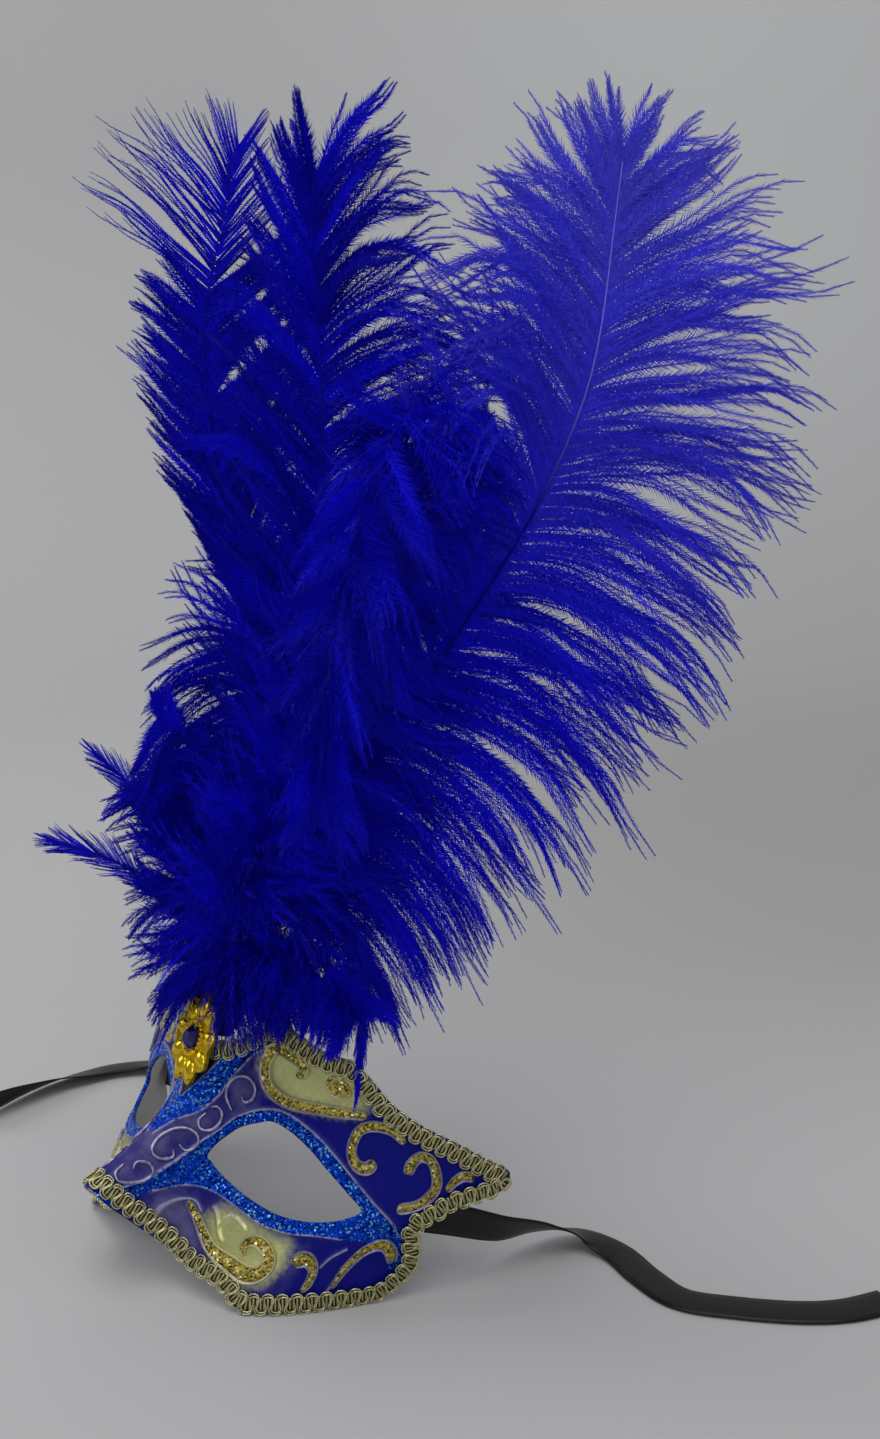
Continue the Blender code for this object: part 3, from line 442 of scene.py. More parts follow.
plumes = {
    "plume_large": {
        "seat": (0.62, 0.0),
        "quill": (
            (0.100, 0.160, -0.036),
            (0.200, 0.304, -0.060),
            (0.293, 0.454, -0.090),
            (0.354, 0.557, -0.107),
            (0.400, 0.661, -0.121),
            (0.421, 0.743, -0.125),
            (0.434, 0.860, -0.128),
            (0.440, 0.915, -0.130),
        ),
        "barbs": (
            (0.10, 0.14, 0.205, 55, 60, 0.3, 1.40),
            (0.24, 0.20, 0.236, 50, 60, 0.2, 1.10),
            (0.42, 0.24, 0.262, 46, 57, 0.3, 0.78),
            (0.60, 0.24, 0.260, 44, 54, 0.45, 0.68),
            (0.76, 0.22, 0.245, 42, 50, 0.60, 0.45),
            (0.88, 0.17, 0.180, 42, 46, 0.30, 0.30),
            (0.96, 0.11, 0.115, 34, 38, 0.05, 0.10),
            (1.00, 0.07, 0.07, 10, 10, 0.0, 0.0),
        ),
        "paintedLight": 0.5,
        "wave": 0.34,
        "perSide": 590,
        "crowd": 1.22,
        "lock": 4,
        "clump": 0.42,
        "ridge": 0.0015,
        "fuzz": 0.0042,
        "spacing": 0.00042,
        "root": 3.4,
        "scatter": 0.15,
        "around": 0.10,
        "paintedTipLight": 0.80,
        "paleFrom": 0.66,
        "seed": 3,
    },
    "plume_tall": {
        "seat": (-0.10, 0.32),
        "quill": (
            (0.032, 0.100, 0.046),
            (0.038, 0.254, 0.062),
            (0.034, 0.446, 0.066),
            (0.014, 0.540, 0.069),
            (0.000, 0.650, 0.071),
            (-0.004, 0.750, 0.071),
            (0.011, 0.825, 0.068),
            (0.040, 0.945, 0.062),
        ),
        "barbs": (
            (0.12, 0.13, 0.13, 105, 42, 0.5, 0.1),
            (0.30, 0.145, 0.16, 95, 42, 0.6, 0.1),
            (0.41, 0.135, 0.17, 80, 41, 0.7, 0.1),
            (0.46, 0.095, 0.175, 28, 41, 0.0, 0.1),
            (0.50, 0.095, 0.18, 27, 40, 0.0, 0.1),
            (0.62, 0.12, 0.18, 34, 42, 0.0, 0.1),
            (0.74, 0.105, 0.16, 40, 42, 0.1, 0.15),
            (0.82, 0.08, 0.12, 44, 40, 0.1, 0.10),
            (0.84, 0.17, 0.12, 54, 34, 0.1, 0.05),
            (0.92, 0.15, 0.08, 52, 26, 0.1, 0.0),
            (1.00, 0.05, 0.05, 20, 20, 0.0, 0.0),
        ),
        "perSide": 410,
        "clump": 0.18,
        "fuzz": 0.0040,
        "spacing": 0.00038,
        "root": 8.0,
        "scatter": 0.04,
        "around": 0.18,
        "bareFrom": 0.83,
        "ridge": 0.004,
        "seed": 11,
    },
    "plume_middle": {
        "seat": (0.28, 0.10),
        "quill": (
            (0.086, 0.218, 0.012),
            (0.125, 0.457, 0.006),
            (0.132, 0.689, 0.002),
            (0.125, 0.846, 0.000),
            (0.128, 0.905, -0.006),
        ),
        "barbs": (
            (0.12, 0.15, 0.17, 45, 50, 0.1, 0.3),
            (0.35, 0.19, 0.24, 42, 52, 0.1, 0.5),
            (0.60, 0.20, 0.27, 40, 52, 0.1, 0.6),
            (0.78, 0.16, 0.21, 34, 48, 0.1, 0.5),
            (0.90, 0.13, 0.165, 28, 40, 0.05, 0.4),
            (1.00, 0.10, 0.12, 12, 20, -0.05, 0.15),
        ),
        "wave": 0.35,
        "ridge": 0.004,
        "perSide": 330,
        "clump": 0.6,
        "fuzz": 0.0044,
        "spacing": 0.00034,
        "root": 5.0,
        "scatter": 0.14,
        "around": 0.35,
        "seed": 23,
    },
    "plume_curled": {
        "seat": (0.45, -0.30),
        "quill": (
            (0.107, 0.304, -0.092),
            (0.180, 0.500, -0.130),
            (0.222, 0.620, -0.152),
            (0.232, 0.672, -0.195),
            (0.206, 0.632, -0.235),
            (0.171, 0.525, -0.246),
            (0.150, 0.400, -0.240),
            (0.137, 0.285, -0.226),
        ),
        "barbs": (
            (0.08, 0.09, 0.16, 50, 55, 0.2, 0.4),
            (0.30, 0.09, 0.20, 50, 55, 0.3, 0.5),
            (0.48, 0.09, 0.145, 60, 60, 0.5, 0.8),
            (0.75, 0.09, 0.135, 50, 50, 0.3, 0.5),
            (1.00, 0.08, 0.095, 25, 25, 0.0, 0.0),
        ),
        "wave": 0.55,
        "perSide": 420,
        "clump": 0.5,
        "fuzz": 0.0046,
        "spacing": 0.00038,
        "root": 2.2,
        "scatter": 0.25,
        "around": 0.9,
        "seed": 31,
    },
    "plume_side": {
        "seat": (-0.48, -0.05),
        "quill": (
            (0.004, 0.120, 0.010),
            (-0.010, 0.225, 0.000),
            (-0.026, 0.290, -0.010),
            (-0.058, 0.322, -0.018),
        ),
        "barbs": (
            (0.12, 0.11, 0.12, 60, 50, 0.2, 0.1),
            (0.50, 0.115, 0.15, 50, 50, 0.15, 0.1),
            (0.80, 0.105, 0.07, 75, 50, 0.6, 0.1),
            (1.00, 0.07, 0.035, 75, 40, 0.8, 0.1),
        ),
        "wave": 0.4,
        "perSide": 190,
        "clump": 0.45,
        "fuzz": 0.0046,
        "spacing": 0.00034,
        "root": 5.0,
        "scatter": 0.14,
        "around": 0.5,
        "seed": 41,
    },
    "tuft_left": {
        **usualTuft,
        "seat": (-0.72, -0.30),
        "quill": ((-0.034, 0.055, 0.006), (-0.036, 0.130, -0.004), (-0.026, 0.205, -0.012)),
        "barbs": (
            (0.00, 0.07, 0.08, 75, 75, 0.3, 0.2),
            (0.50, 0.085, 0.10, 60, 60, 0.2, 0.2),
            (0.85, 0.08, 0.11, 50, 50, 0.1, 0.0),
            (1.00, 0.06, 0.08, 30, 30, 0.0, 0.0),
        ),
        "perSide": 170,
        "seed": 53,
    },
    "tuft_front": {
        **usualTuft,
        "seat": (0.12, -0.38),
        "quill": ((0.018, 0.036, -0.050), (0.042, 0.130, -0.076), (0.075, 0.235, -0.098)),
        "barbs": (
            (0.00, 0.112, 0.064, 100, 92, 1.1, 1.0),
            (0.20, 0.105, 0.080, 92, 88, 1.0, 0.9),
            (0.35, 0.12, 0.13, 84, 84, 0.9, 0.9),
            (0.55, 0.13, 0.14, 65, 65, 0.3, 0.3),
            (0.85, 0.12, 0.12, 50, 50, 0.1, 0.1),
            (1.00, 0.08, 0.08, 30, 30, 0.0, 0.0),
        ),
        "perSide": 370,
        "crowd": 1.45,
        "seed": 61,
    },
    "tuft_right": {
        **usualTuft,
        "seat": (0.80, -0.30),
        "quill": (
            (0.055, 0.045, -0.060),
            (0.100, 0.058, -0.088),
            (0.142, 0.032, -0.106),
            (0.166, 0.000, -0.116),
        ),
        "barbs": (
            (0.00, 0.085, 0.085, 80, 90, 0.6, 1.2),
            (0.50, 0.080, 0.085, 75, 90, 0.5, 1.2),
            (0.80, 0.064, 0.055, 78, 90, 0.5, 1.0),
            (1.00, 0.055, 0.044, 70, 80, 0.3, 0.6),
        ),
        "perSide": 330,
        "crowd": 0.85,
        "paintedLight": 0.3,
        "clump": 0.25,
        "scatter": 0.25,
        "seed": 71,
    },
    "hackle_hanging": {
        "seat": (0.92, 0.15),
        "quill": (
            (0.080, 0.095, -0.040),
            (0.140, 0.118, -0.055),
            (0.171, 0.050, -0.074),
            (0.172, -0.036, -0.096),
            (0.167, -0.088, -0.124),
        ),
        "barbs": (
            (0.30, 0.045, 0.045, 26, 26, 0.0, 0.0),
            (0.60, 0.046, 0.040, 17, 17, 0.0, 0.0),
            (0.85, 0.040, 0.034, 9, 9, 0.0, 0.0),
            (1.00, 0.022, 0.022, 3, 3, 0.0, 0.0),
        ),
        "perSide": 150,
        "clump": 0.3,
        "fuzz": 0.0006,
        "spacing": 0.0005,
        "root": 3.0,
        "scatter": 0.05,
        "around": 0.1,
        "seed": 83,
    },
    "wisp_low": {
        **usualWisp,
        "seat": (-0.86, 0.05),
        "quill": ((-0.060, 0.070, 0.040), (-0.120, 0.130, 0.040), (-0.205, 0.160, 0.042)),
        "seed": 97,
    },
    "wisp_high": {
        **usualWisp,
        "seat": (-0.86, 0.36),
        "quill": ((-0.050, 0.110, 0.058), (-0.095, 0.205, 0.058), (-0.150, 0.262, 0.060)),
        "seed": 101,
    },
}


def featherFinish():
    made, tree, shader = newMaterial("ostrich_blue")
    along = readAttribute(tree, "along")
    tone = readAttribute(tree, "tone")
    pale = readAttribute(tree, "pale")
    deep = mixColour(tree, tone, plumeColours["deep"], plumeColours["bright"])
    tipped = mixColour(tree, addRange(tree, along, 0.55, 1.0, 0.0, 0.45), deep, plumeColours["tip"])
    inputs = {
        "Base Color": mixColour(tree, pale, tipped, plumeColours["pale"]),
        # pale barbs near a lit plume's tip are painted light, and wherever barbs or quill are pale the sheen
        # rises too
        "Sheen Weight": addRange(tree, pale, 0.0, 0.12, 0.0, 0.8),
        "Sheen Tint": plumeColours["sheen"],
        "Sheen Roughness": 0.6,
        "Roughness": 0.62,
        "Specular IOR Level": 0.08,
    }
    setNode(tree, shader, inputs)
    return made


def newShapeTree(name, source, labels):
    # a Geometry Nodes tree with nothing in it yet but its inputs: one geometry and named numbers
    tree = bpy.data.node_groups.new(name, "GeometryNodeTree")
    sockets = tree.interface
    sockets.new_socket("Geometry", in_out="OUTPUT", socket_type="NodeSocketGeometry")
    sockets.new_socket(source, in_out="INPUT", socket_type="NodeSocketGeometry")
    for label in labels:
        sockets.new_socket(label, in_out="INPUT", socket_type="NodeSocketFloat")
    return tree


def closeShapeTree(tree, shape, finish):
    real = addNode(tree, "GeometryNodeRealizeInstances", {"Geometry": shape}).outputs[0]
    paint = addNode(tree, "GeometryNodeSetMaterial", {"Geometry": real, "Material": finish}).outputs[0]
    tree.links.new(paint, addNode(tree, "NodeGroupOutput").inputs[0])


def readNamed(tree, name, kind):
    node = addNode(tree, "GeometryNodeInputNamedAttribute", {"Name": name}, data_type=kind)
    return node.outputs["Attribute"]


def fuzzTree(finish):
    # Geometry Nodes tree: barb guide lines to thin blades with barbules on both sides
    tree = newShapeTree("ostrich_barbs", "Barb lines", ("Barb width", "Barbule spacing", "Barbule width"))
    tree.interface.new_socket("Seed", in_out="INPUT", socket_type="NodeSocketInt")
    given = addNode(tree, "NodeGroupInput").outputs

    def value(operation, first, second=0.0):
        return addMath(tree, operation, first, second)

    def vector(operation, first, second=None, scale=None):
        return addVector(tree, operation, first, second, scale)

    def chance(low, high, salt):
        inputs = {2: low, 3: high, "Seed": value("ADD", given["Seed"], salt)}
        return addNode(tree, "FunctionNodeRandomValue", inputs, data_type="FLOAT").outputs[1]

    vane = readNamed(tree, "vane", "FLOAT_VECTOR")
    plain = addNode(tree, "GeometryNodeMeshToCurve", {"Mesh": given[0]}).outputs[0]
    heading = addNode(tree, "GeometryNodeInputTangent").outputs[0]
    facing = {"Curve": plain, "Normal": vector("CROSS_PRODUCT", heading, vane)}
    curve = addNode(tree, "GeometryNodeSetCurveNormal", facing, mode="FREE").outputs[0]
    width = value("MULTIPLY", readNamed(tree, "thin", "FLOAT"), given["Barb width"])
    barb = addNode(tree, "GeometryNodeSetCurveRadius", {"Curve": curve, "Radius": width}).outputs[0]
    line = addNode(tree, "GeometryNodeCurvePrimitiveLine", {"Start": (-0.5, 0, 0), "End": (0.5, 0, 0)})
    blade = addNode(tree, "GeometryNodeCurveToMesh", {"Curve": barb, "Profile Curve": line.outputs[0]})
    if "Scale" in blade.inputs:
        tree.links.new(addNode(tree, "GeometryNodeInputRadius").outputs[0], blade.inputs["Scale"])

    # barbules stand on every other side in turn, tilted out of the vane and leaning to the tip
    every = {"Curve": curve, "Length": given["Barbule spacing"]}
    spread = addNode(tree, "GeometryNodeCurveToPoints", every, mode="LENGTH").outputs
    tangent = spread["Tangent"]
    side = vector("NORMALIZE", vector("CROSS_PRODUCT", tangent, vane))
    index = addNode(tree, "GeometryNodeInputIndex").outputs[0]
    sign = value("SUBTRACT", value("MULTIPLY", value("MODULO", index, 2.0), 2.0), 1.0)
    tilt = chance(-0.9, 0.9, 1)
    flatSide = vector("SCALE", side, scale=value("MULTIPLY", sign, value("COSINE", tilt)))
    raised = vector("SCALE", vane, scale=value("SINE", tilt))
    outward = vector("ADD", flatSide, raised)
    lean = value("MULTIPLY", readNamed(tree, "lean", "FLOAT"), chance(0.75, 1.25, 2))
    forward = vector("SCALE", tangent, scale=value("COSINE", lean))
    aim = vector("ADD", forward, vector("SCALE", outward, scale=value("SINE", lean)))
    roll = vector("ADD", vane, vector("SCALE", side, scale=chance(-0.8, 0.8, 3)))
    axes = {0: aim, 1: roll}
    turn = addNode(tree, "FunctionNodeAxesToRotation", axes, primary_axis="X", secondary_axis="Z")
    ring = addNode(tree, "GeometryNodeMeshCircle", {"Vertices": 3, "Radius": 1.0}, fill_type="NGON")
    rooted = {"Geometry": ring.outputs[0], "Translation": (1 / 3, 0, 0), "Scale": (2 / 3, 0.577, 1)}
    barbule = addNode(tree, "GeometryNodeTransform", rooted).outputs[0]
    length = value("MULTIPLY", readNamed(tree, "fuzz", "FLOAT"), chance(0.65, 1.25, 4))
    size = addNode(tree, "ShaderNodeCombineXYZ", {0: length, 1: given["Barbule width"], 2: 1.0}).outputs[0]
    placing = {"Points": spread[0], "Instance": barbule, "Rotation": turn.outputs[0], "Scale": size}
    put = addNode(tree, "GeometryNodeInstanceOnPoints", placing).outputs[0]
    real = addNode(tree, "GeometryNodeRealizeInstances", {"Geometry": put}).outputs[0]
    both = addNode(tree, "GeometryNodeJoinGeometry")
    for shape in (blade.outputs[0], real):
        tree.links.new(shape, both.inputs[0])
    closeShapeTree(tree, both.outputs[0], finish)
    return tree


def setInputs(modifier, values):
    for item in modifier.node_group.interface.items_tree:
        if item.item_type == "SOCKET" and item.in_out == "INPUT" and item.name in values:
            modifier[item.identifier] = values[item.name]


def bakeTree(name, mesh, tree, values, finish):
    # the modifier's result as a plain mesh on an object of its own
    guide = bpy.data.objects.new(name + "_guide", mesh)
    bpy.context.collection.objects.link(guide)
    shaper = guide.modifiers.new("shaper", "NODES")
    shaper.node_group = tree
    setInputs(shaper, values)
    bpy.context.view_layer.update()
    graph = bpy.context.evaluated_depsgraph_get()
    result = bpy.data.meshes.new_from_object(guide.evaluated_get(graph))
    guide.modifiers.remove(shaper)
    bpy.data.objects.remove(guide)
    result.name = name
    return linkMesh(name, result, finish)


def columnAt(rows, place, column):
    # a column's value at a place in the first column, straight between rows
    if place <= rows[0][0]:
        return rows[0][column]
    for low, high in zip(rows, rows[1:]):
        if place <= high[0]:
            part = (place - low[0]) / (high[0] - low[0])
            return low[column] + (high[column] - low[column]) * part
    return rows[-1][column]


plumeTurn = math.radians(plumeSizes["turn"])
plumeRight = Vector((math.cos(plumeTurn), math.sin(plumeTurn), 0))
plumeBack = Vector((-math.sin(plumeTurn), math.cos(plumeTurn), 0))
plumeUp = Vector((0, 0, 1))
plumeFoot = fromMask(facePoint(plumeSizes["foot"][0], plumeSizes["foot"][1] * face["height"]))


def plumePoint(place):
    size = plumeSizes["height"]
    return plumeFoot + (plumeRight * place[0] + plumeUp * place[1] + plumeBack * place[2]) * size


padSizes = {
    "topWidth": 0.026,
    "height": 0.016,
    "depth": 0.009,
    "seatUp": 0.22,
    "seatLift": 0.0033,
    "up": 0.0026,
    "front": -0.0003,
}


def seatMatrix(lift):
    # the jewel's seat on the brow: X across, Y up the face and Z straight out
    up = padSizes["seatUp"] * face["height"]
    normal = faceNormal(0.0, up)
    rise = (Vector((0, 0, 1)) - normal * normal.z).normalized()
    across = rise.cross(normal)
    origin = facePoint(0.0, up) + normal * lift
    axes = [fromMask(axis) - fromMask(Vector((0, 0, 0))) for axis in (across, rise, normal)]
    return Matrix.Translation(fromMask(origin)) @ Matrix(axes).transposed().to_4x4()


seat = seatMatrix(padSizes["seatLift"])
seatBack = seat.inverted()


def padPoint(across, deep, above):
    # a place over the pad's top, by shares of its half width and half depth
    return seat @ Vector(
        (
            0.5 * padSizes["topWidth"] * across,
            padSizes["up"] + padSizes["height"] + above,
            padSizes["front"] - 0.5 * padSizes["depth"] * (1 + deep),
        )
    )


class Quill:
    # a smooth line that gives the place, direction and side at a share of its length
    def __init__(self, points):
        self.path = smoothPath(points, 0.003)
        self.places = [0.0]
        for start, end in zip(self.path, self.path[1:]):
            self.places.append(self.places[-1] + (end - start).length)
        self.length = self.places[-1]

    def at(self, share):
        wanted = min(max(share, 0.0), 1.0) * self.length
        index = int(np.searchsorted(self.places, wanted)) - 1
        index = min(max(index, 0), len(self.path) - 2)
        part = (wanted - self.places[index]) / (self.places[index + 1] - self.places[index])
        point = self.path[index].lerp(self.path[index + 1], part)
        run = (self.path[min(index + 2, len(self.path) - 1)] - self.path[max(index - 1, 0)]).normalized()
        across = (plumeRight - run * plumeRight.dot(run)).normalized()
        return point, run, across


def barbLine(quill, feather, share, side, wobble):
    # one barb before locks draw together: it leaves the quill at its angle and bends over
    point, run, across = quill.at(share)
    longer, wider, sag, sideways, around, phase = wobble
    rows = feather["barbs"]
    steps = plumeSizes["steps"]
    right = side > 0
    length = columnAt(rows, share, 2 if right else 1) * plumeSizes["height"] * (1 + longer)
    angle = math.radians(columnAt(rows, share, 4 if right else 3) * (1 + wider))
    droop = columnAt(rows, share, 6 if right else 5) + sag
    vane = run.cross(across)
    outward = across * math.cos(around) * side + vane * math.sin(around)
    reach = run * math.cos(angle) + outward * math.sin(angle)
    bend = Vector((0, 0, -1)) * droop + vane * sideways
    step = length / steps
    line = [point]
    for k in range(steps):
        part = (k + 0.5) / steps
        wave = feather["wave"] * part * math.sin(2 * math.pi * (plumeSizes["waves"] * part + phase))
        heading = reach + bend * 2 * part + outward.cross(vane) * wave
        line.append(line[-1] + heading.normalized() * step)
    return line, run.cross(outward)


# The ellipse over the jewel's seat that barbs keep out of. It slants towards the camera.
jewelView = {"halfWidth": 0.0116, "halfHeight": 0.0160, "slant": 0.9, "behind": 0.001}


def hidesJewel(line):
    # whether a barb would hang in front of the jewel
    for point in line[::2]:
        place = seatBack @ point
        beside = (place.x - jewelView["slant"] * max(place.z, 0)) / jewelView["halfWidth"]
        if place.z > -jewelView["behind"] and math.hypot(beside, place.y / jewelView["halfHeight"]) < 1:
            return True
    return False


def barbGuides(name, feather):
    # guide lines of a feather's barbs, lock by lock, with what the tree and the paint read on them
    rng = random.Random(feather["seed"])
    foot = padPoint(*feather["seat"], plumeSizes["quillLift"])
    quill = Quill([foot] + [plumePoint(place) for place in feather["quill"]])
    first = feather["barbs"][0][0]
    last = plumeSizes["steps"]
    points, edges, vanes = [], [], []
    data = {"thin": [], "fuzz": [], "lean": [], "tone": [], "along": [], "pale": []}
    scatter, around = feather["scatter"], feather["around"]
    count = feather["perSide"]

    # how far locks, and barbs in a lock, differ in length, angle, droop, bend, turn and wave
    lockSpreads = (0.09, 0.09, scatter, 1.6 * scatter, around)
    barbSpreads = (0.06, 0.06, 0.4 * scatter, scatter, 0.25 * around, 0.1)

    def shareOf(number):
        return first + (1 - first) * (number / count) ** feather["crowd"]

    for side in (-1, 1):
        index = 0
        while index < count:
            size = max(2, int(feather["lock"] * rng.uniform(0.5, 1.7)))
            members = range(index, min(index + size, count))
            sway = [rng.gauss(0, spread) for spread in lockSpreads] + [rng.random()]
            centre, _ = barbLine(quill, feather, shareOf(index + 0.5 * len(members)), side, sway)
            clump = feather["clump"] * rng.uniform(0.6, 1.2)
            lockTone = rng.random()
            for member in members:
                share = shareOf(member + rng.uniform(0.0, 1.0))
                bare = share > feather["bareFrom"]
                if bare and rng.random() < plumeSizes["bareGaps"]:
                    continue
                own = [value + rng.gauss(0, spread) for value, spread in zip(sway, barbSpreads)]
                line, vane = barbLine(quill, feather, share, side, own)
                if hidesJewel(line):
                    continue
                # now and then a barb strays from its lock
                pull = plumeSizes["strayClump"] if rng.random() < plumeSizes["strays"] else clump
                tone = 0.6 * lockTone + 0.4 * rng.random()
                # painted light: glow lightens every barb of a plume that catches more light
                tone = feather["paintedLight"] + (1 - feather["paintedLight"]) * tone
                root = 2.5 if bare else feather["root"] - 1
                start = len(points)
                edges.extend((start + k, start + k + 1) for k in range(last))
                for k in range(last + 1):
                    part = k / last
                    points.append(line[k].lerp(centre[k], min(pull * part**1.7, 0.95)))
                    full = min(1.0, 0.5 + 3 * part) * (1 - 0.80 * part**2.5)
                    data["fuzz"].append(feather["fuzz"] * full * (0.34 if bare else 1.0))
                    data["lean"].append(0.95 - 0.55 * part)
                    data["thin"].append(1.0 - 0.5 * part + root * (1 - part) ** 2)
                    data["along"].append(part)
                    # painted light: barbs paler towards the tip of a lit plume
                    data["pale"].append(feather["paintedTipLight"] * max(0.0, share - 0.45) ** 1.5)
                    data["tone"].append(tone)
                    vanes.append(vane)
            index += len(members)
    mesh = bpy.data.meshes.new(name + "_lines")
    mesh.from_pydata(points, edges, [])
    writeVectors(mesh, "vane", vanes)
    writeValues(mesh, data)
    return mesh, quill


def quillMesh(name, quill, feather):
    # tapered quill with eight sides, pale towards the tip where the feather is
    rings = 40
    sides = 8
    points, faces, pale = [], [], []
    for ring in range(rings + 1):
        share = ring / rings
        point, run, across = quill.at(share * 0.995)
        point = point - plumeBack * feather["ridge"] * min(1.0, 6 * share)
        other = run.cross(across)
        radius = 0.5 * plumeSizes["quillWidth"] * (1 - 0.86 * share**0.8)
        for k in range(sides):
            angle = 2 * math.pi * k / sides
            points.append(point + (across * math.cos(angle) + other * math.sin(angle)) * radius)
            pale.append(min(1.0, max(0.0, (share - feather["paleFrom"]) / 0.2)) * 0.8)
        if ring:
            low = (ring - 1) * sides
            for k in range(sides):
                after = (k + 1) % sides
                faces.append((low + k, low + after, low + sides + after, low + sides + k))
    faces.append(tuple(range(sides))[::-1])
    faces.append(tuple(rings * sides + k for k in range(sides)))
    mesh = bpy.data.meshes.new(name + "_quill")
    mesh.from_pydata(points, [], faces)
    mesh.shade_smooth()
    writeValues(mesh, {"pale": pale, "tone": [0.0] * len(pale), "along": [0.9] * len(pale)})
    return mesh


def makePlume(name, feather, tree, finish):
    guides, quill = barbGuides(name, feather)
    values = {
        "Barb width": plumeSizes["barbWidth"],
        "Barbule spacing": feather["spacing"],
        "Barbule width": plumeSizes["barbuleWidth"],
        "Seed": feather["seed"],
    }
    piece = bakeTree(name + "_barbs", guides, tree, values, finish)
    stem = linkMesh(name + "_quill", quillMesh(name, quill, feather), finish)
    for part in (piece, stem):
        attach(part, "root")
    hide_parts(name)
    print(name, "barb triangles", sum(len(p.vertices) - 2 for p in piece.data.polygons))


plumeBlue = featherFinish()
barbTree = fuzzTree(plumeBlue)
for plumeName, plume in plumes.items():
    makePlume(plumeName, {**usualFeather, **plume}, barbTree, plumeBlue)


# Outlines of the mask on its unrolled face: shares of the half girth and of the height

maskOutline = (
    (0.000, 0.230),
    (0.067, 0.250),
    (0.108, 0.290),
    (0.150, 0.340),
    (0.208, 0.375),
    (0.283, 0.365),
    (0.367, 0.345),
    (0.458, 0.350),
    (0.533, 0.310),
    (0.583, 0.275),
    (0.642, 0.250),
    (0.717, 0.233),
    (0.808, 0.220),
    (0.908, 0.200),
    (1.000, 0.180),
    (0.990, 0.105),
    (0.908, 0.040),
    (0.833, -0.015),
    (0.804, -0.050),
    (0.822, -0.088),
    (0.852, -0.140),
    (0.867, -0.210),
    (0.850, -0.285),
    (0.804, -0.352),
    (0.750, -0.386),
    (0.667, -0.424),
    (0.583, -0.454),
    (0.500, -0.481),
    (0.417, -0.484),
    (0.308, -0.472),
    (0.192, -0.460),
    (0.117, -0.420),
    (0.067, -0.370),
    (0.025, -0.332),
    (0.000, -0.322),
)
eyeOutline = (
    (0.125, -0.120),
    (0.133, -0.068),
    (0.167, -0.003),
    (0.222, 0.040),
    (0.273, 0.066),
    (0.340, 0.058),
    (0.408, 0.031),
    (0.477, -0.008),
    (0.553, -0.050),
    (0.613, -0.088),
    (0.580, -0.131),
    (0.533, -0.159),
    (0.475, -0.181),
    (0.400, -0.193),
    (0.328, -0.190),
    (0.246, -0.177),
    (0.171, -0.156),
    (0.137, -0.132),
)

# Thin lines moulded in the shell, in millimetres on the unrolled face
mouldedLines = {
    "under_eye": (
        (10, -27),
        (14, -22.5),
        (21, -21.2),
        (32, -22.2),
        (43, -23.8),
        (53, -23.2),
        (64, -20.5),
        (72, -19),
    ),
    "nose_upper": ((1.5, -11), (4, -5), (8, 0), (11, 7), (13, 14), (17, 22), (22, 28), (27, 31)),
    "nose_lower": (
        (5, -31),
        (8, -25),
        (10, -17),
        (12, -9),
        (15, -3),
        (19, 3),
        (26, 8),
        (34, 10.8),
        (42, 10.2),
        (51, 7.5),
        (60, 3.2),
        (68, -1.0),
        (76, -5.0),
        (84, -8.5),
        (91, -12.5),
    ),
    "panel_edge": ((1.0, 2.5), (5, 11), (9, 19.5), (14, 28), (17, 33)),
    "cheek_rim": ((13, -37), (12.5, -31.5), (14.5, -27.2), (17.5, -26.2), (20.5, -28.5)),
    "cheek_first": ((24, -25.5), (26.5, -27.5), (29.5, -31.5), (32, -33.5)),
    "cheek_second": ((28.8, -30.5), (31, -26.5), (34, -25.8), (38, -27.2)),
    "cheek_last": ((71, -29), (72.5, -25.5), (76, -21.5)),
    "wing_low": ((78.5, -37), (79, -30), (80.5, -24.5), (83.5, -19.5)),
}
smallBosses = ((20.5, 20.5, 1.7), (27.0, 12.8, 1.3), (24.0, 27.5, 1.1))
glitterAreas = {
    "eye_band": (
        (2, -31.5),
        (5, -31),
        (8, -25),
        (10, -17),
        (12, -9),
        (15, -3),
        (19, 3),
        (26, 8),
        (34, 10.8),
        (42, 10.2),
        (51, 7.5),
        (60, 3.2),
        (68, -1.0),
        (76, -5.0),
        (84, -8.5),
        (94, -12),
        (104, -15),
        (104, -24),
        (96, -23.5),
        (88, -18.5),
        (80, -17.5),
        (72, -19),
        (64, -20.5),
        (53, -23.2),
        (43, -23.8),
        (32, -22.2),
        (21, -21.2),
        (14, -22.5),
        (10, -27),
        (7, -35),
    ),
    "brow_stripe": (
        (-3, -3),
        (-1, -9),
        (1.5, -11),
        (4, -5),
        (8, 0),
        (11, 7),
        (13, 14),
        (17, 22),
        (22, 28),
        (27, 31),
        (30, 38),
        (20, 39),
        (17, 33),
        (14, 28),
        (9, 19.5),
        (5, 11),
        (1.0, 2.5),
        (-2.0, 0.5),
    ),
}
goldAreas = {
    "brow": (
        (22, 22),
        (20, 30),
        (25, 38),
        (40, 39),
        (58, 33),
        (64, 25),
        (62, 20),
        (56, 18),
        (47, 16),
        (37, 14.5),
        (29, 15.5),
    ),
    "cheek": (
        (27, -25),
        (23, -30),
        (27, -36),
        (34, -41),
        (46, -44),
        (55, -40),
        (58, -33),
        (56, -26),
        (45, -25),
        (33, -24),
    ),
}
greyAreas = {
    "nose": (
        (0, -30),
        (7, -26),
        (10, -15),
        (13, -5),
        (18, 4),
        (26, 11),
        (30, 18),
        (24, 24),
        (17, 20),
        (11, 6),
        (6, -2),
        (0, -12),
    ),
    "cheek": (
        (8, -36),
        (13, -25),
        (22, -22.5),
        (30, -24),
        (22, -30),
        (26, -38),
        (36, -46),
        (22, -50),
    ),
    "cheek_right": ((55, -44), (55, -24), (62, -25), (62, -40)),
}
panelArea = ((-2, 2), (1, 2.5), (5, 11), (9, 19.5), (14, 28), (17, 33), (10, 40), (-2, 40))

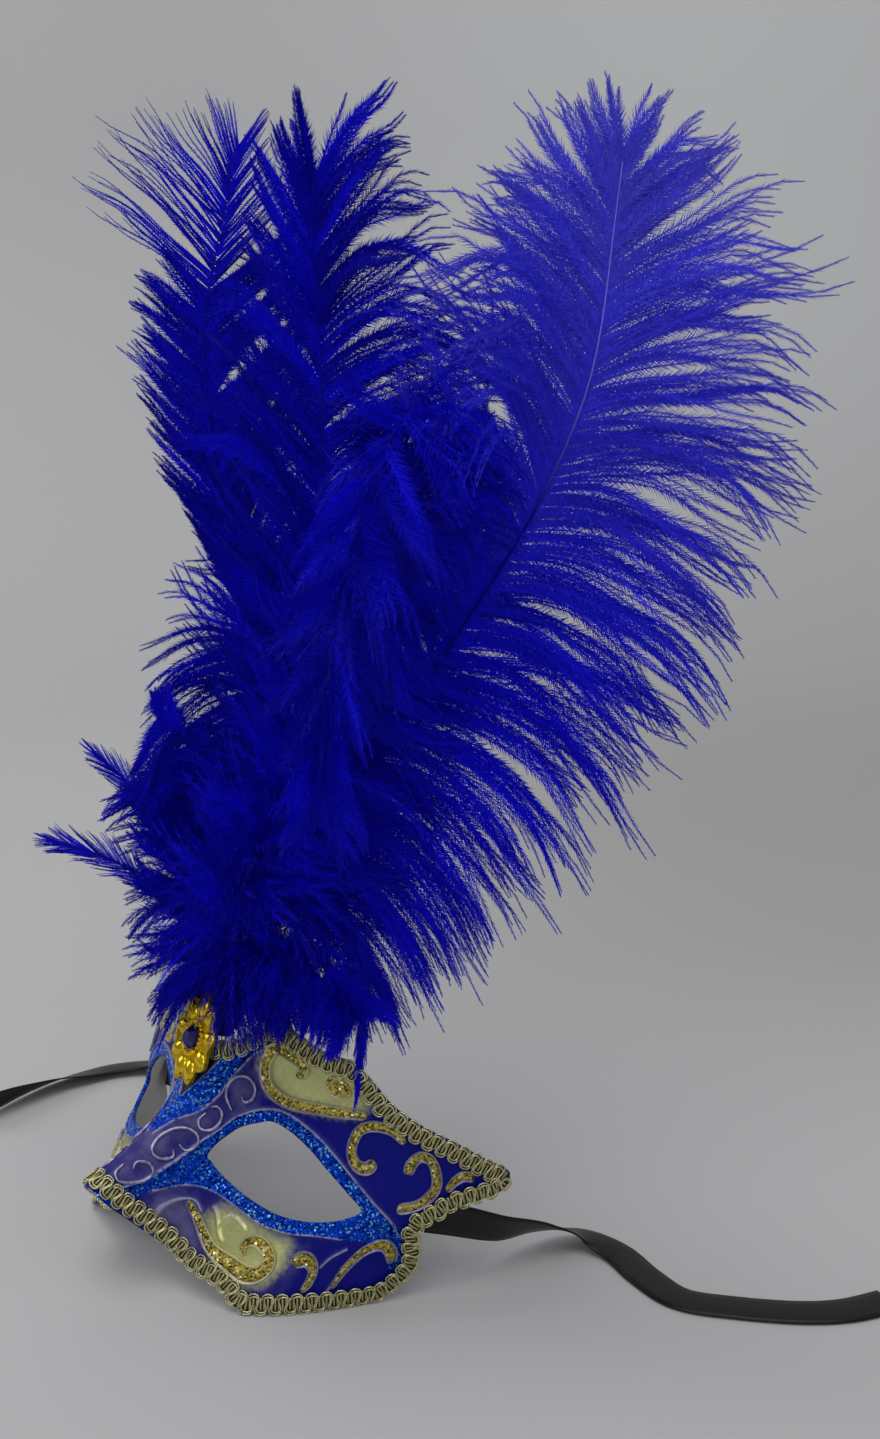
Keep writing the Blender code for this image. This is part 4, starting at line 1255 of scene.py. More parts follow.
paintBlurs = {"gold": 0.0042, "grey": 0.0050, "panel": 0.0008, "scroll": 0.0040}

shellSizes = {
    "grid": 0.00115,
    "lineStep": 0.0009,
    "lineHeight": 0.00065,
    "lineHalfWidth": 0.00066,
    "bossHeight": 0.0009,
    "edgeInset": 0.0010,
}
restStretch = {"from": 0.40, "to": 0.82, "fade": 0.07, "reach": 0.0022, "lift": 0.0005}


def placesOf(table):
    return [Vector((along * face["halfGirth"], up * face["height"])) for along, up in table]


def millimetres(table):
    return [Vector(row[:2]) * 0.001 for row in table]


def standingHeight(place):
    point = facePoint(*place) + faceNormal(*place) * restStretch["lift"]
    return point.z * math.cos(standing["lean"]) - point.y * math.sin(standing["lean"])


def outlinePath(step):
    # the half outline, level where the mask rests on its cheek
    path = smoothPath(placesOf(maskOutline), step)
    lowest = min(standingHeight(place) for place in path)
    for place in path:
        share = place.x / face["halfGirth"]
        rise = (share - restStretch["from"]) / restStretch["fade"] + 1
        fall = (restStretch["to"] - share) / restStretch["fade"] + 1
        fade = min(rise, fall, 1)
        if place.y > 0 or fade <= 0:
            continue
        drop = min(standingHeight(place) - lowest, restStretch["reach"]) * fade
        goal = standingHeight(place) - drop
        for _ in range(4):
            place.y -= (standingHeight(place) - goal) / math.cos(standing["lean"])
    return path


def insetPath(path, inset):
    # the half outline moved inwards, without the loops that tight corners would leave
    rough = np.array([tuple(p) for p in path])
    moved = []
    for index, point in enumerate(path):
        before = path[index - 1] if index else Vector((-path[1].x, path[1].y))
        after = path[index + 1] if index + 1 < len(path) else Vector((-path[-2].x, path[-2].y))
        run = (after - before).normalized()
        place = point + Vector((run.y, -run.x)) * inset
        near = np.min(distances(np.array([tuple(place)]), rough))
        if near >= 0.97 * inset and place.x > -1e-6:
            moved.append(place)
    moved[0].x = 0.0
    moved[-1].x = 0.0
    return moved


def distances(points, line):
    # distance of each point to a polyline, as numpy arrays of rows (x, y)
    best = np.full(len(points), 1e9)
    for start, end in zip(line[:-1], line[1:]):
        span = end - start
        size = max(float(span @ span), 1e-14)
        part = np.clip((points - start) @ span / size, 0, 1)
        gap = np.hypot(*(points - (start + part[:, None] * span)).T)
        best = np.minimum(best, gap)
    return best


def areInside(points, loop):
    inside = np.zeros(len(points), dtype=bool)
    for start, end in zip(loop, np.roll(loop, -1, axis=0)):
        spans = (start[1] > points[:, 1]) != (end[1] > points[:, 1])
        rise = end[1] - start[1]
        if rise == 0:
            continue
        cross = start[0] + (points[:, 1] - start[1]) / rise * (end[0] - start[0])
        inside ^= spans & (points[:, 0] < cross)
    return inside


def signedDistances(points, loop):
    # negative inside a closed loop
    closed = np.vstack([loop, loop[:1]])
    gap = distances(points, closed)
    return np.where(areInside(points, loop), -gap, gap)


def asArray(path):
    return np.array([tuple(p)[:2] for p in path])


def smoothLoop(points, step):
    # a closed smooth path, from the first point round to just before it
    path = smoothPath([points[-1], *points, points[0], points[1]], step)

    def away(index):
        return (path[index] - points[0]).length

    start = min(range(len(path)), key=away)
    end = min(range(start + 6, len(path)), key=away)
    return path[start:end]


reliefLines = [smoothPath(millimetres(rows), shellSizes["lineStep"]) for rows in mouldedLines.values()]


def reliefAt(points):
    # height of moulded lines and bosses over the plain face, and the way to the nearest line
    gap = np.full(len(points), 1e9)
    for line in reliefLines:
        gap = np.minimum(gap, distances(points, asArray(line)))
    across = np.clip(gap / shellSizes["lineHalfWidth"], 0, 1)
    height = shellSizes["lineHeight"] * np.cos(across * math.pi / 2) ** 1.3
    for along, up, radius in smallBosses:
        away = np.hypot(points[:, 0] - along * 0.001, points[:, 1] - up * 0.001) / (radius * 0.001)
        height = np.maximum(height, shellSizes["bossHeight"] * np.sqrt(np.clip(1 - away**2, 0, 1)))
    return height, gap


def softShare(points, areas, blur):
    # 1 well inside any of the areas, 0 outside, with a soft edge
    share = np.zeros(len(points))
    for rows in areas.values():
        gap = signedDistances(points, asArray(millimetres(rows)))
        share = np.maximum(share, np.clip(0.5 - gap / (2 * blur), 0, 1))
    return share * share * (3 - 2 * share)


def paintValues(points):
    edge = np.full(len(points), 1e9)
    for rows in glitterAreas.values():
        edge = np.minimum(edge, signedDistances(points, asArray(millimetres(rows))))
    return {
        "glitterEdge": edge * 1000,
        "goldShare": softShare(points, goldAreas, paintBlurs["gold"]),
        "greyShare": softShare(points, greyAreas, paintBlurs["grey"]),
        "panelShare": softShare(points, {"panel": panelArea}, paintBlurs["panel"]),
    }


def shellHalf():
    # points and triangles of the wearer's left half, laid flat on the unrolled face
    step = shellSizes["grid"]
    edge = insetPath(outlinePath(step), shellSizes["edgeInset"])
    top, foot = edge[0], edge[-1]
    count = round((top.y - foot.y) / step)
    spine = [foot.lerp(top, k / count) for k in range(1, count)]
    region = edge + spine
    eye = smoothLoop(placesOf(eyeOutline), 0.8 * step)
    fixed = asArray(region + eye)
    loop, hole = asArray(region), asArray(eye)

    # rows of points along moulded lines, and rings of them on bosses
    lines = []
    for line in reliefLines:
        for index, point in enumerate(line):
            run = (line[min(index + 1, len(line) - 1)] - line[max(index - 1, 0)]).normalized()
            side = Vector((-run.y, run.x))
            for share in (-1.0, -0.5, 0.0, 0.5, 1.0):
                lines.append(tuple(point + side * share * shellSizes["lineHalfWidth"]))
    for along, up, radius in smallBosses:
        for ring in (0.0, 0.5, 0.85, 1.0):
            for k in range(12 if ring else 1):
                angle = 2 * math.pi * k / 12
                spot = (along + ring * radius * math.cos(angle), up + ring * radius * math.sin(angle))
                lines.append((spot[0] * 0.001, spot[1] * 0.001))

    # a staggered grid that covers the half face
    grid = []
    for row in range(-60, 60):
        for column in range(1, 120):
            grid.append(((column + 0.5 * (row % 2)) * step, row * step * 0.87))

    def usable(rows):
        places = np.array(rows)
        return places[areInside(places, loop) & ~areInside(places, hole)]

    # grid points stay only where no other point is near
    lines, grid = usable(lines), usable(grid)
    cells = {}
    for point in np.vstack([fixed, lines]):
        cells.setdefault((int(point[0] // step), int(point[1] // step)), []).append(point)
    kept = []
    for point in grid:
        column, row = int(point[0] // step), int(point[1] // step)
        near = [q for a in (-1, 0, 1) for b in (-1, 0, 1) for q in cells.get((column + a, row + b), ())]
        if all(math.hypot(q[0] - point[0], q[1] - point[1]) > 0.55 * step for q in near):
            kept.append(point)
    edges = [(k, (k + 1) % len(region)) for k in range(len(region))]
    start = len(region)
    edges += [(start + k, start + (k + 1) % len(eye)) for k in range(len(eye))]
    flatPoints = [Vector(p) for p in np.vstack([fixed, lines, np.array(kept)])]
    placed, _, triangles, *_ = delaunay_2d_cdt(flatPoints, edges, [], 0, 1e-7, False)
    spots = np.array([tuple(p) for p in placed])
    corners = np.array(triangles)
    centres = spots[corners].mean(axis=1)
    keep = areInside(centres, loop) & ~areInside(centres, hole)
    return spots, corners[keep]


def makeShell(paint, lining):
    spots, triangles = shellHalf()
    relief, gap = reliefAt(spots)
    points = []
    for (along, up), height in zip(spots, relief):
        points.append(fromMask(facePoint(along, up) + faceNormal(along, up) * float(height)))
    values = paintValues(spots)
    values["lineShare"] = np.clip(1.15 - gap / (0.9 * shellSizes["lineHalfWidth"]), 0, 1)
    middle = standing["right"]
    mirrored = [Vector((2 * middle - p.x, p.y, p.z)) for p in points]
    count = len(points)
    faces = [tuple(t) for t in triangles.tolist()]
    faces += [(c + count, b + count, a + count) for a, b, c in faces]
    mesh = bpy.data.meshes.new("shell_form")
    mesh.from_pydata(points + mirrored, [], faces)
    writeValues(mesh, {key: np.concatenate([numbers, numbers]) for key, numbers in values.items()})
    body = bmesh.new()
    body.from_mesh(mesh)
    seam = [v for v in body.verts if abs(v.co.x - middle) < 1e-6]
    bmesh.ops.remove_doubles(body, verts=seam, dist=1e-5)
    body.to_mesh(mesh)
    body.free()
    mesh.shade_smooth()
    shell = linkMesh("shell_form", mesh, paint)
    mesh.materials.append(lining)
    wall = shell.modifiers.new("wall", "SOLIDIFY")
    wall.thickness = face["wall"]
    wall.offset = -1.0
    wall.material_offset = 1
    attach(shell, "root")
    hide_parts("mask_shell")
    print("shell triangles on its outer face", len(faces))


# Paint, glitter and metal


def glitterGroup():
    # shared effect: flakes that each have a tone, a tilt and a gloss of their own, and a share of them
    # painted pale as glints
    group = bpy.data.node_groups.new("glitter_flakes", "ShaderNodeTree")
    sockets = group.interface
    sockets.new_socket("Vector", in_out="INPUT", socket_type="NodeSocketVector")
    for label, kind, value in (
        ("Flakes per metre", "NodeSocketFloat", 1800.0),
        ("Dark", "NodeSocketColor", (0, 0, 0.3, 1)),
        ("Bright", "NodeSocketColor", (0, 0.2, 1, 1)),
        ("Painted glint", "NodeSocketColor", (0.5, 0.8, 1, 1)),
        ("Turn", "NodeSocketFloat", 1.0),
    ):
        sockets.new_socket(label, in_out="INPUT", socket_type=kind).default_value = value
    outputs = {"Colour": "NodeSocketColor", "Normal": "NodeSocketVector", "Roughness": "NodeSocketFloat"}
    for label, kind in outputs.items():
        sockets.new_socket(label, in_out="OUTPUT", socket_type=kind)
    given = addNode(group, "NodeGroupInput").outputs
    spacing = {"Vector": given["Vector"], "Scale": given["Flakes per metre"]}
    cells = addNode(group, "ShaderNodeTexVoronoi", spacing).outputs["Color"]
    split = addNode(group, "ShaderNodeSeparateColor", {0: cells}).outputs
    body = mixColour(group, split[0], given["Dark"], given["Bright"])
    # painted glints: a share of the flakes turned pale, besides the glints their tilt catches
    colour = mixColour(group, addRange(group, split[1], 0.80, 0.92), body, given["Painted glint"])
    tilt = addVector(group, "SUBTRACT", cells, (0.5, 0.5, 0.5))
    tilt = addVector(group, "SCALE", tilt, scale=given["Turn"])
    normal = addNode(group, "ShaderNodeNewGeometry").outputs["Normal"]
    normal = addVector(group, "NORMALIZE", addVector(group, "ADD", normal, tilt))
    gloss = addRange(group, split[2], 0.0, 1.0, 0.22, 0.5)
    addNode(group, "NodeGroupOutput", {"Colour": colour, "Normal": normal, "Roughness": gloss})
    return group


def addGlitter(tree, group, vector, values):
    return addNode(tree, "ShaderNodeGroup", {"Vector": vector, **values}, node_tree=group).outputs


blueGlitter = {
    "Flakes per metre": 1750.0,
    "Dark": (0.001, 0.010, 0.16, 1),
    "Bright": (0.002, 0.070, 0.78, 1),
    "Painted glint": (0.20, 0.62, 1.0, 1),
    "Turn": 1.1,
}
goldGlitter = {
    "Flakes per metre": 1500.0,
    "Dark": (0.16, 0.12, 0.015, 1),
    "Bright": (0.62, 0.50, 0.10, 1),
    "Painted glint": (1.0, 0.95, 0.55, 1),
    "Turn": 1.25,
}
paintColours = {
    "royal": (0.001, 0.003, 0.17, 1),
    "royalLight": (0.004, 0.006, 0.27, 1),
    "grey": (0.035, 0.030, 0.18, 1),
    "greyLight": (0.13, 0.115, 0.29, 1),
    "gold": (0.46, 0.48, 0.15, 1),
    "goldLight": (0.86, 0.87, 0.42, 1),
    "panel": (0.003, 0.008, 0.045, 1),
    "lineSilver": (0.44, 0.43, 0.60, 1),
    "lineGold": (0.62, 0.58, 0.30, 1),
}


def paintFinish(group):
    made, tree, shader = newMaterial("shell_paint")
    colours = paintColours
    place = ownPlace(tree)
    cloud = addNoise(tree, place, 85.0, 5.0, 0.6)
    fine = addNoise(tree, place, 700.0, 4.0)
    # royal blue, grey where it is worn
    greyShare = readAttribute(tree, "greyShare")
    royal = mixColour(tree, cloud, colours["royal"], colours["royalLight"])
    grey = mixColour(tree, addRange(tree, cloud, 0.35, 0.7), colours["grey"], colours["greyLight"])
    worn = addMath(tree, "ADD", greyShare, addRange(tree, cloud, 0.3, 0.7, -0.30, 0.18), clamp=True)
    worn = addMath(tree, "MULTIPLY", worn, addRange(tree, greyShare, 0.0, 0.25), clamp=True)
    base = mixColour(tree, worn, royal, grey)
    # gold dusted over brow and cheek, and the dark panel
    goldShare = readAttribute(tree, "goldShare")
    gold = mixColour(tree, cloud, colours["gold"], colours["goldLight"])
    dusted = addMath(tree, "ADD", goldShare, addRange(tree, fine, 0.3, 0.7, -0.12, 0.12))
    goldMask = addMath(tree, "MULTIPLY", dusted, addRange(tree, goldShare, 0.0, 0.2), clamp=True)
    base = mixColour(tree, goldMask, base, gold)
    base = mixColour(tree, readAttribute(tree, "panelShare"), base, colours["panel"])
    # moulded lines, silver on the blue and gold on the gold
    onLine = readAttribute(tree, "lineShare")
    line = mixColour(tree, goldMask, colours["lineSilver"], colours["lineGold"])
    lineShare = addMath(tree, "MULTIPLY", onLine, addRange(tree, fine, 0.25, 0.55, 0.35, 0.85))
    base = mixColour(tree, lineShare, base, line)
    # glitter with a ragged edge, thinner on the lines
    flakes = addGlitter(tree, group, place, blueGlitter)
    ragged = addRange(tree, fine, 0.3, 0.7, -0.35, 0.35)
    ragged = addMath(tree, "ADD", readAttribute(tree, "glitterEdge"), ragged)
    glitter = addRange(tree, ragged, 0.1, -0.1)
    glitter = addMath(tree, "MULTIPLY", glitter, addRange(tree, onLine, 0.75, 1.0, 1.0, 0.3))
    rough = addRange(tree, cloud, 0.3, 0.7, 0.30, 0.42)
    metal = addMath(tree, "ADD", addMath(tree, "MULTIPLY", goldMask, 0.70), 0.03)
    metal = addMath(tree, "MAXIMUM", metal, addMath(tree, "MULTIPLY", glitter, 0.85))
    metal = addMath(tree, "MAXIMUM", metal, addMath(tree, "MULTIPLY", lineShare, 0.5))
    inputs = {
        "Base Color": mixColour(tree, glitter, base, flakes["Colour"]),
        "Roughness": mixValue(tree, glitter, rough, flakes["Roughness"]),
        "Metallic": metal,
        "Normal": mixVector(tree, glitter, addBump(tree, fine, 0.10, 0.0002), flakes["Normal"]),
        "Specular IOR Level": 0.13,
    }
    setNode(tree, shader, inputs)
    return made


def liningFinish():
    made, tree, shader = newMaterial("plain_lining")
    soft = addNoise(tree, ownPlace(tree), 60.0, 5.0)
    inputs = {
        "Base Color": mixColour(tree, soft, (0.46, 0.45, 0.42, 1), (0.56, 0.55, 0.52, 1)),
        "Roughness": addRange(tree, soft, 0.3, 0.7, 0.55, 0.7),
        "Normal": addBump(tree, soft, 0.2, 0.0005),
    }
    setNode(tree, shader, inputs)
    return made


def scrollFinish(group):
    # a painted rim, gold where the face is, round a fill of gold glitter
    made, tree, shader = newMaterial("gold_glitter_scroll")
    place = ownPlace(tree)
    fine = addNoise(tree, place, 500.0, 3.0)
    flakes = addGlitter(tree, group, place, goldGlitter)
    rim = mixColour(tree, readAttribute(tree, "goldShare"), (0.20, 0.19, 0.36, 1), (0.58, 0.55, 0.28, 1))
    rim = mixColour(tree, addRange(tree, fine, 0.4, 0.75, 0.0, 0.6), rim, (0.60, 0.58, 0.52, 1))
    fill = addRange(tree, readAttribute(tree, "fill"), 0.45, 0.55)
    inputs = {
        "Base Color": mixColour(tree, fill, rim, flakes["Colour"]),
        "Roughness": mixValue(tree, fill, 0.38, flakes["Roughness"]),
        "Metallic": addRange(tree, fill, 0.0, 1.0, 0.45, 0.9),
        "Normal": mixVector(tree, fill, addBump(tree, fine, 0.1, 0.0002), flakes["Normal"]),
    }
    setNode(tree, shader, inputs)
    return made


def metalFinish(name, dark, light, roughness, noiseScale, strength):
    made, tree, shader = newMaterial(name)
    fine = addNoise(tree, ownPlace(tree), noiseScale, 4.0)
    inputs = {
        "Base Color": mixColour(tree, addRange(tree, fine, 0.3, 0.7), dark, light),
        "Roughness": addRange(tree, fine, 0.3, 0.7, roughness - 0.06, roughness + 0.08),
        "Metallic": 0.9,
        "Normal": addBump(tree, fine, strength, 0.0002),
    }
    setNode(tree, shader, inputs)
    return made


# Scrolls: rows of (along, up, width) in millimetres on the unrolled face

scrollSizes = {
    "step": 0.0008,
    "lift": 0.0002,
    "sink": 0.0002,
    "height": 0.0012,
    "braidShare": 0.95,
    "ownShare": 0.4,
    "spread": 7,
    "cap": 3,
}
glitterScrolls = {
    "scroll_brow": (
        (36.5, 23.5, 1.8),
        (38.8, 25.8, 4.2),
        (38.4, 29.6, 4.4),
        (35.0, 32.0, 4.4),
        (30.2, 32.0, 4.4),
        (26.0, 28.8, 4.6),
        (24.2, 23.2, 4.6),
        (26.0, 18.0, 4.7),
        (30.2, 15.2, 4.6),
        (37.0, 14.4, 4.3),
        (47.0, 16.2, 4.0),
        (56.5, 18.2, 3.5),
        (64.0, 20.0, 2.6),
    ),
    "scroll_leaf": (
        (47.6, 27.4, 3.8),
        (50.0, 26.6, 6.2),
        (52.8, 26.9, 7.9),
        (55.4, 28.6, 7.0),
        (57.2, 30.6, 3.2),
    ),
    "scroll_temple": (
        (79.0, 17.0, 2.8),
        (73.5, 19.2, 3.3),
        (67.6, 18.2, 3.6),
        (63.2, 15.2, 3.7),
        (62.0, 10.6, 3.7),
        (63.0, 6.8, 3.8),
        (65.8, 4.4, 4.2),
        (69.2, 4.6, 4.8),
        (71.0, 7.4, 4.8),
    ),
    "scroll_crook": (
        (83.0, 7.2, 4.6),
        (83.0, 10.6, 4.2),
        (85.2, 13.8, 3.7),
        (88.8, 13.8, 3.6),
        (91.8, 11.0, 3.8),
        (93.8, 6.8, 4.0),
        (93.0, 2.6, 4.0),
        (89.6, -1.6, 3.9),
        (84.4, -4.2, 4.2),
    ),
    "scroll_tip": ((97.9, 6.0, 2.6), (99.6, 10.0, 3.4), (102.4, 12.4, 3.6), (106.0, 12.6, 3.4)),
    "scroll_cheek": (
        (16.0, -27.0, 1.8),
        (20.0, -30.4, 3.2),
        (25.4, -34.4, 3.9),
        (31.4, -37.8, 4.6),
        (38.2, -40.0, 5.8),
        (45.0, -40.6, 6.6),
        (50.4, -38.6, 6.2),
        (52.6, -35.0, 5.8),
        (51.2, -31.6, 5.0),
        (47.0, -29.2, 4.4),
        (42.8, -29.6, 3.8),
        (41.0, -32.4, 3.0),
        (43.0, -34.6, 1.6),
    ),
    "scroll_spiral": (
        (61.4, -31.6, 5.2),
        (62.6, -29.2, 6.2),
        (65.8, -28.6, 5.0),
        (69.0, -31.0, 3.8),
        (70.0, -35.4, 3.4),
        (69.0, -38.5, 2.6),
    ),
    "scroll_arch": (
        (79.0, -34.5, 2.0),
        (79.4, -27.5, 3.1),
        (81.2, -21.5, 3.5),
        (84.0, -17.8, 3.9),
        (87.4, -16.4, 4.2),
        (90.8, -17.6, 4.4),
        (94.0, -20.8, 3.8),
    ),
}
bandProfile = (  # (share across, height share, whether it is glitter)
    (-1.00, 0.00, 0),
    (-0.97, 0.55, 0),
    (-0.89, 0.95, 0),
    (-0.80, 0.85, 0),
    (-0.71, 0.28, 0),
    (-0.64, 0.34, 1),
    (-0.34, 0.50, 1),
    (0.00, 0.56, 1),
    (0.34, 0.50, 1),
    (0.64, 0.34, 1),
    (0.71, 0.28, 0),
    (0.80, 0.85, 0),
    (0.89, 0.95, 0),
    (0.97, 0.55, 0),
    (1.00, 0.00, 0),
)
edgeOutline = asArray(outlinePath(0.001))


def clearOfBraid(path):
    # a scroll bent inwards along the braid where it would run beneath
    pushes = []
    for place in path:
        away = np.array([tuple(place)[:2]]) - edgeOutline
        gaps = np.hypot(*away.T)
        near = int(np.argmin(gaps))
        need = scrollSizes["braidShare"] * braidSizes["width"] + scrollSizes["ownShare"] * place.z
        push = max(need - float(gaps[near]), 0.0) / max(float(gaps[near]), 1e-6)
        pushes.append(away[near] * push)
    spread = scrollSizes["spread"]
    padded = np.pad(np.array(pushes), ((spread, spread), (0, 0)), mode="edge")
    smooth = [padded[k : k + 2 * spread + 1].mean(axis=0) for k in range(len(path))]
    return [place + Vector((*push, 0)) for place, push in zip(path, smooth)]


def onFace(along, up, lift, side):
    point = fromMask(facePoint(along, up) + faceNormal(along, up) * lift)
    if side < 0:
        point.x = 2 * standing["right"] - point.x
    return point


def makeScroll(name, rows, side, finish):
    path = clearOfBraid(smoothPath([Vector(row) * 0.001 for row in rows], scrollSizes["step"]))
    points, fills, spots = [], [], []
    last = len(path) - 1
    cap = scrollSizes["cap"]
    for index, place in enumerate(path):
        run = (path[min(index + 1, last)].xy - path[max(index - 1, 0)].xy).normalized()
        across = Vector((-run.y, run.x))
        near = min(index, last - index)
        close = math.sqrt(max(0.0, 1 - ((cap - near) / (cap + 0.3)) ** 2)) if near < cap else 1.0
        half = 0.5 * place.z * close
        for share, height, fill in bandProfile:
            spot = place.xy + across * share * half
            lift = scrollSizes["lift"] + scrollSizes["height"] * height * (0.4 + 0.6 * close)
            if height == 0:
                lift = -scrollSizes["sink"]
            points.append(onFace(spot.x, spot.y, lift, side))
            fills.append(float(fill) if close > 0.6 else 0.0)
            spots.append(tuple(spot))
    faces = []
    width = len(bandProfile)
    for row in range(last):
        low = row * width
        for k in range(low, low + width - 1):
            faces.append((k, k + 1, k + width + 1, k + width))
        faces.append((low, low + width, low + 2 * width - 1, low + width - 1))
    if side > 0:
        faces = [quad[::-1] for quad in faces]
    ends = (tuple(range(width)), tuple(last * width + k for k in range(width))[::-1])
    faces += [end if side < 0 else end[::-1] for end in ends]
    mesh = bpy.data.meshes.new(name + "_band")
    mesh.from_pydata(points, [], faces)
    golden = softShare(np.array(spots), goldAreas, paintBlurs["scroll"])
    writeValues(mesh, {"fill": fills, "goldShare": golden})
    turnOutwards(mesh)
    piece = linkMesh(name + "_band", mesh, finish)
    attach(piece, "root")
    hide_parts(name)


# Thin silver curls on the side of the nose: (along, up) in millimetres

curlSizes = {"radius": 0.00062, "step": 0.0007, "sides": 8, "sink": 0.00012}
noseCurls = {
    "nose_curl_low": (
        (2.6, -22.0),
        (3.0, -25.2),
        (5.4, -27.2),
        (8.0, -25.0),
        (8.2, -21.6),
        (6.4, -19.4),
        (4.6, -20.4),
        (5.2, -22.6),
    ),
    "nose_curl_wide": (
        (8.6, -11.4),
        (10.6, -12.6),
        (11.8, -10.0),
        (10.8, -7.0),
        (8.0, -6.0),
        (5.2, -8.0),
        (4.0, -11.6),
        (5.0, -15.6),
        (7.4, -17.2),
        (9.2, -15.8),
        (8.4, -13.6),
    ),
    "nose_curl_small": (
        (10.0, 0.6),
        (9.2, -2.4),
        (10.8, -4.8),
        (13.2, -3.8),
        (14.4, -0.6),
        (13.8, 2.4),
        (11.8, 3.6),
        (10.4, 2.6),
    ),
    "nose_curl_high": (
        (16.4, 4.2),
        (13.4, 7.6),
        (12.8, 11.8),
        (15.0, 15.2),
        (19.2, 16.2),
        (22.6, 14.0),
        (22.6, 10.4),
        (20.2, 8.4),
        (18.2, 9.8),
    ),
}


def tubeMesh(name, centres, ups, radius, sides):
    # a round line through the centres, thinner at both ends
    points, faces = [], []
    last = len(centres) - 1
    for index, centre in enumerate(centres):
        run = (centres[min(index + 1, last)] - centres[max(index - 1, 0)]).normalized()
        across = run.cross(ups[index]).normalized()
        rise = across.cross(run)
        near = min(index, last - index)
        size = radius * (0.45 + 0.55 * min(1, near / 4))
        for k in range(sides):
            angle = 2 * math.pi * k / sides
            points.append(centre + (across * math.cos(angle) + rise * math.sin(angle)) * size)
        if index:
            low = (index - 1) * sides
            for k in range(sides):
                other = (k + 1) % sides
                faces.append((low + k, low + other, low + sides + other, low + sides + k))
    faces.append(tuple(range(sides))[::-1])
    faces.append(tuple(last * sides + k for k in range(sides)))
    mesh = bpy.data.meshes.new(name)
    mesh.from_pydata(points, [], faces)
    turnOutwards(mesh)
    return mesh


def makeCurl(name, rows, side, finish):
    path = smoothPath(millimetres(rows), curlSizes["step"])
    lift = curlSizes["radius"] * 0.35 + curlSizes["sink"]
    centres = [onFace(p.x, p.y, lift, side) for p in path]
    ups = [(onFace(p.x, p.y, 0.001, side) - onFace(p.x, p.y, 0.0, side)).normalized() for p in path]
    mesh = tubeMesh(name + "_line", centres, ups, curlSizes["radius"], curlSizes["sides"])
    piece = linkMesh(name + "_line", mesh, finish)
    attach(piece, "root")
    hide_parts(name)


# Looped metallic braid round the edge

braidSizes = {
    "width": 0.0070,
    "pitch": 0.0046,
    "strand": 0.00029,
    "strands": (1.0, 0.74),
    "stack": 0.00016,
    "bulge": 0.00115,
    "hump": 0.00022,
    "loopPoints": 18,
    "lift": 0.0012,
    "tapeWidth": 0.0040,
    "tapeThickness": 0.0005,
    "ribMillimetres": 1.15,
    "step": 0.0012,
}


def tapeFinish():
    # ribbed thread core under the loops
    made, tree, shader = newMaterial("ribbed_tape")
    turn = addMath(tree, "MULTIPLY", readAttribute(tree, "run"), 2 * math.pi / braidSizes["ribMillimetres"])
    rib = addRange(tree, addMath(tree, "SINE", turn), -0.8, 0.8)
    inputs = {
        "Base Color": mixColour(tree, rib, (0.012, 0.012, 0.006, 1), (0.40, 0.37, 0.17, 1)),
        "Roughness": addRange(tree, rib, 0.0, 1.0, 0.7, 0.4),
        "Metallic": 0.6,
        "Normal": addBump(tree, rib, 0.6, 0.0004),
    }
    setNode(tree, shader, inputs)
    return made


def braidTree(finish):
    # Geometry Nodes tree: an edge line to meandering strands side by side
    tree = newShapeTree("looped_braid", "Edge line", ("Pitch", "Half width", "Bulge", "Strand radius"))
    given = addNode(tree, "NodeGroupInput").outputs

    def value(operation, first, second=0.0):
        return addMath(tree, operation, first, second)

    def vector(operation, first, second=None, scale=None):
        return addVector(tree, operation, first, second, scale)

    curve = addNode(tree, "GeometryNodeMeshToCurve", {"Mesh": given[0]}).outputs[0]
    every = {"Curve": curve, "Length": value("MULTIPLY", given["Pitch"], 1 / braidSizes["loopPoints"])}
    spread = addNode(tree, "GeometryNodeResampleCurve", every, mode="LENGTH").outputs[0]
    tangent = addNode(tree, "GeometryNodeInputTangent").outputs[0]
    lay = readNamed(tree, "lay", "FLOAT_VECTOR")
    across = vector("NORMALIZE", vector("CROSS_PRODUCT", lay, tangent))
    travelled = addNode(tree, "GeometryNodeSplineParameter").outputs["Length"]
    phase = value("MULTIPLY", value("DIVIDE", travelled, given["Pitch"]), 2 * math.pi)
    swing = value("MULTIPLY", value("COSINE", phase), given["Half width"])
    swell = value("MULTIPLY", value("SINE", value("MULTIPLY", phase, 2.0)), given["Bulge"])
    hump = value("MULTIPLY", value("SINE", phase), braidSizes["hump"])
    offset = vector("ADD", vector("SCALE", across, scale=swing), vector("SCALE", tangent, scale=swell))
    offset = vector("ADD", offset, vector("SCALE", lay, scale=hump))
    moved = addNode(tree, "GeometryNodeSetPosition", {"Geometry": spread, "Offset": offset}).outputs[0]
    outline = {"Resolution": 5, "Radius": given["Strand radius"]}
    ring = addNode(tree, "GeometryNodeCurvePrimitiveCircle", outline)
    strand = addNode(tree, "GeometryNodeCurveToMesh", {"Curve": moved, "Profile Curve": ring.outputs[0]})
    smooth = addNode(tree, "GeometryNodeSetShadeSmooth", {"Geometry": strand.outputs[0]}).outputs[0]
    closeShapeTree(tree, smooth, finish)
    return tree


def wholeLoop(path):
    # a half path on the wearer's left and its mirror, as one closed run of (along, up, side)
    left = [(p.x, p.y, 1) for p in path]
    right = [(p.x, p.y, -1) for p in path[::-1]][1:-1]
    return left + right


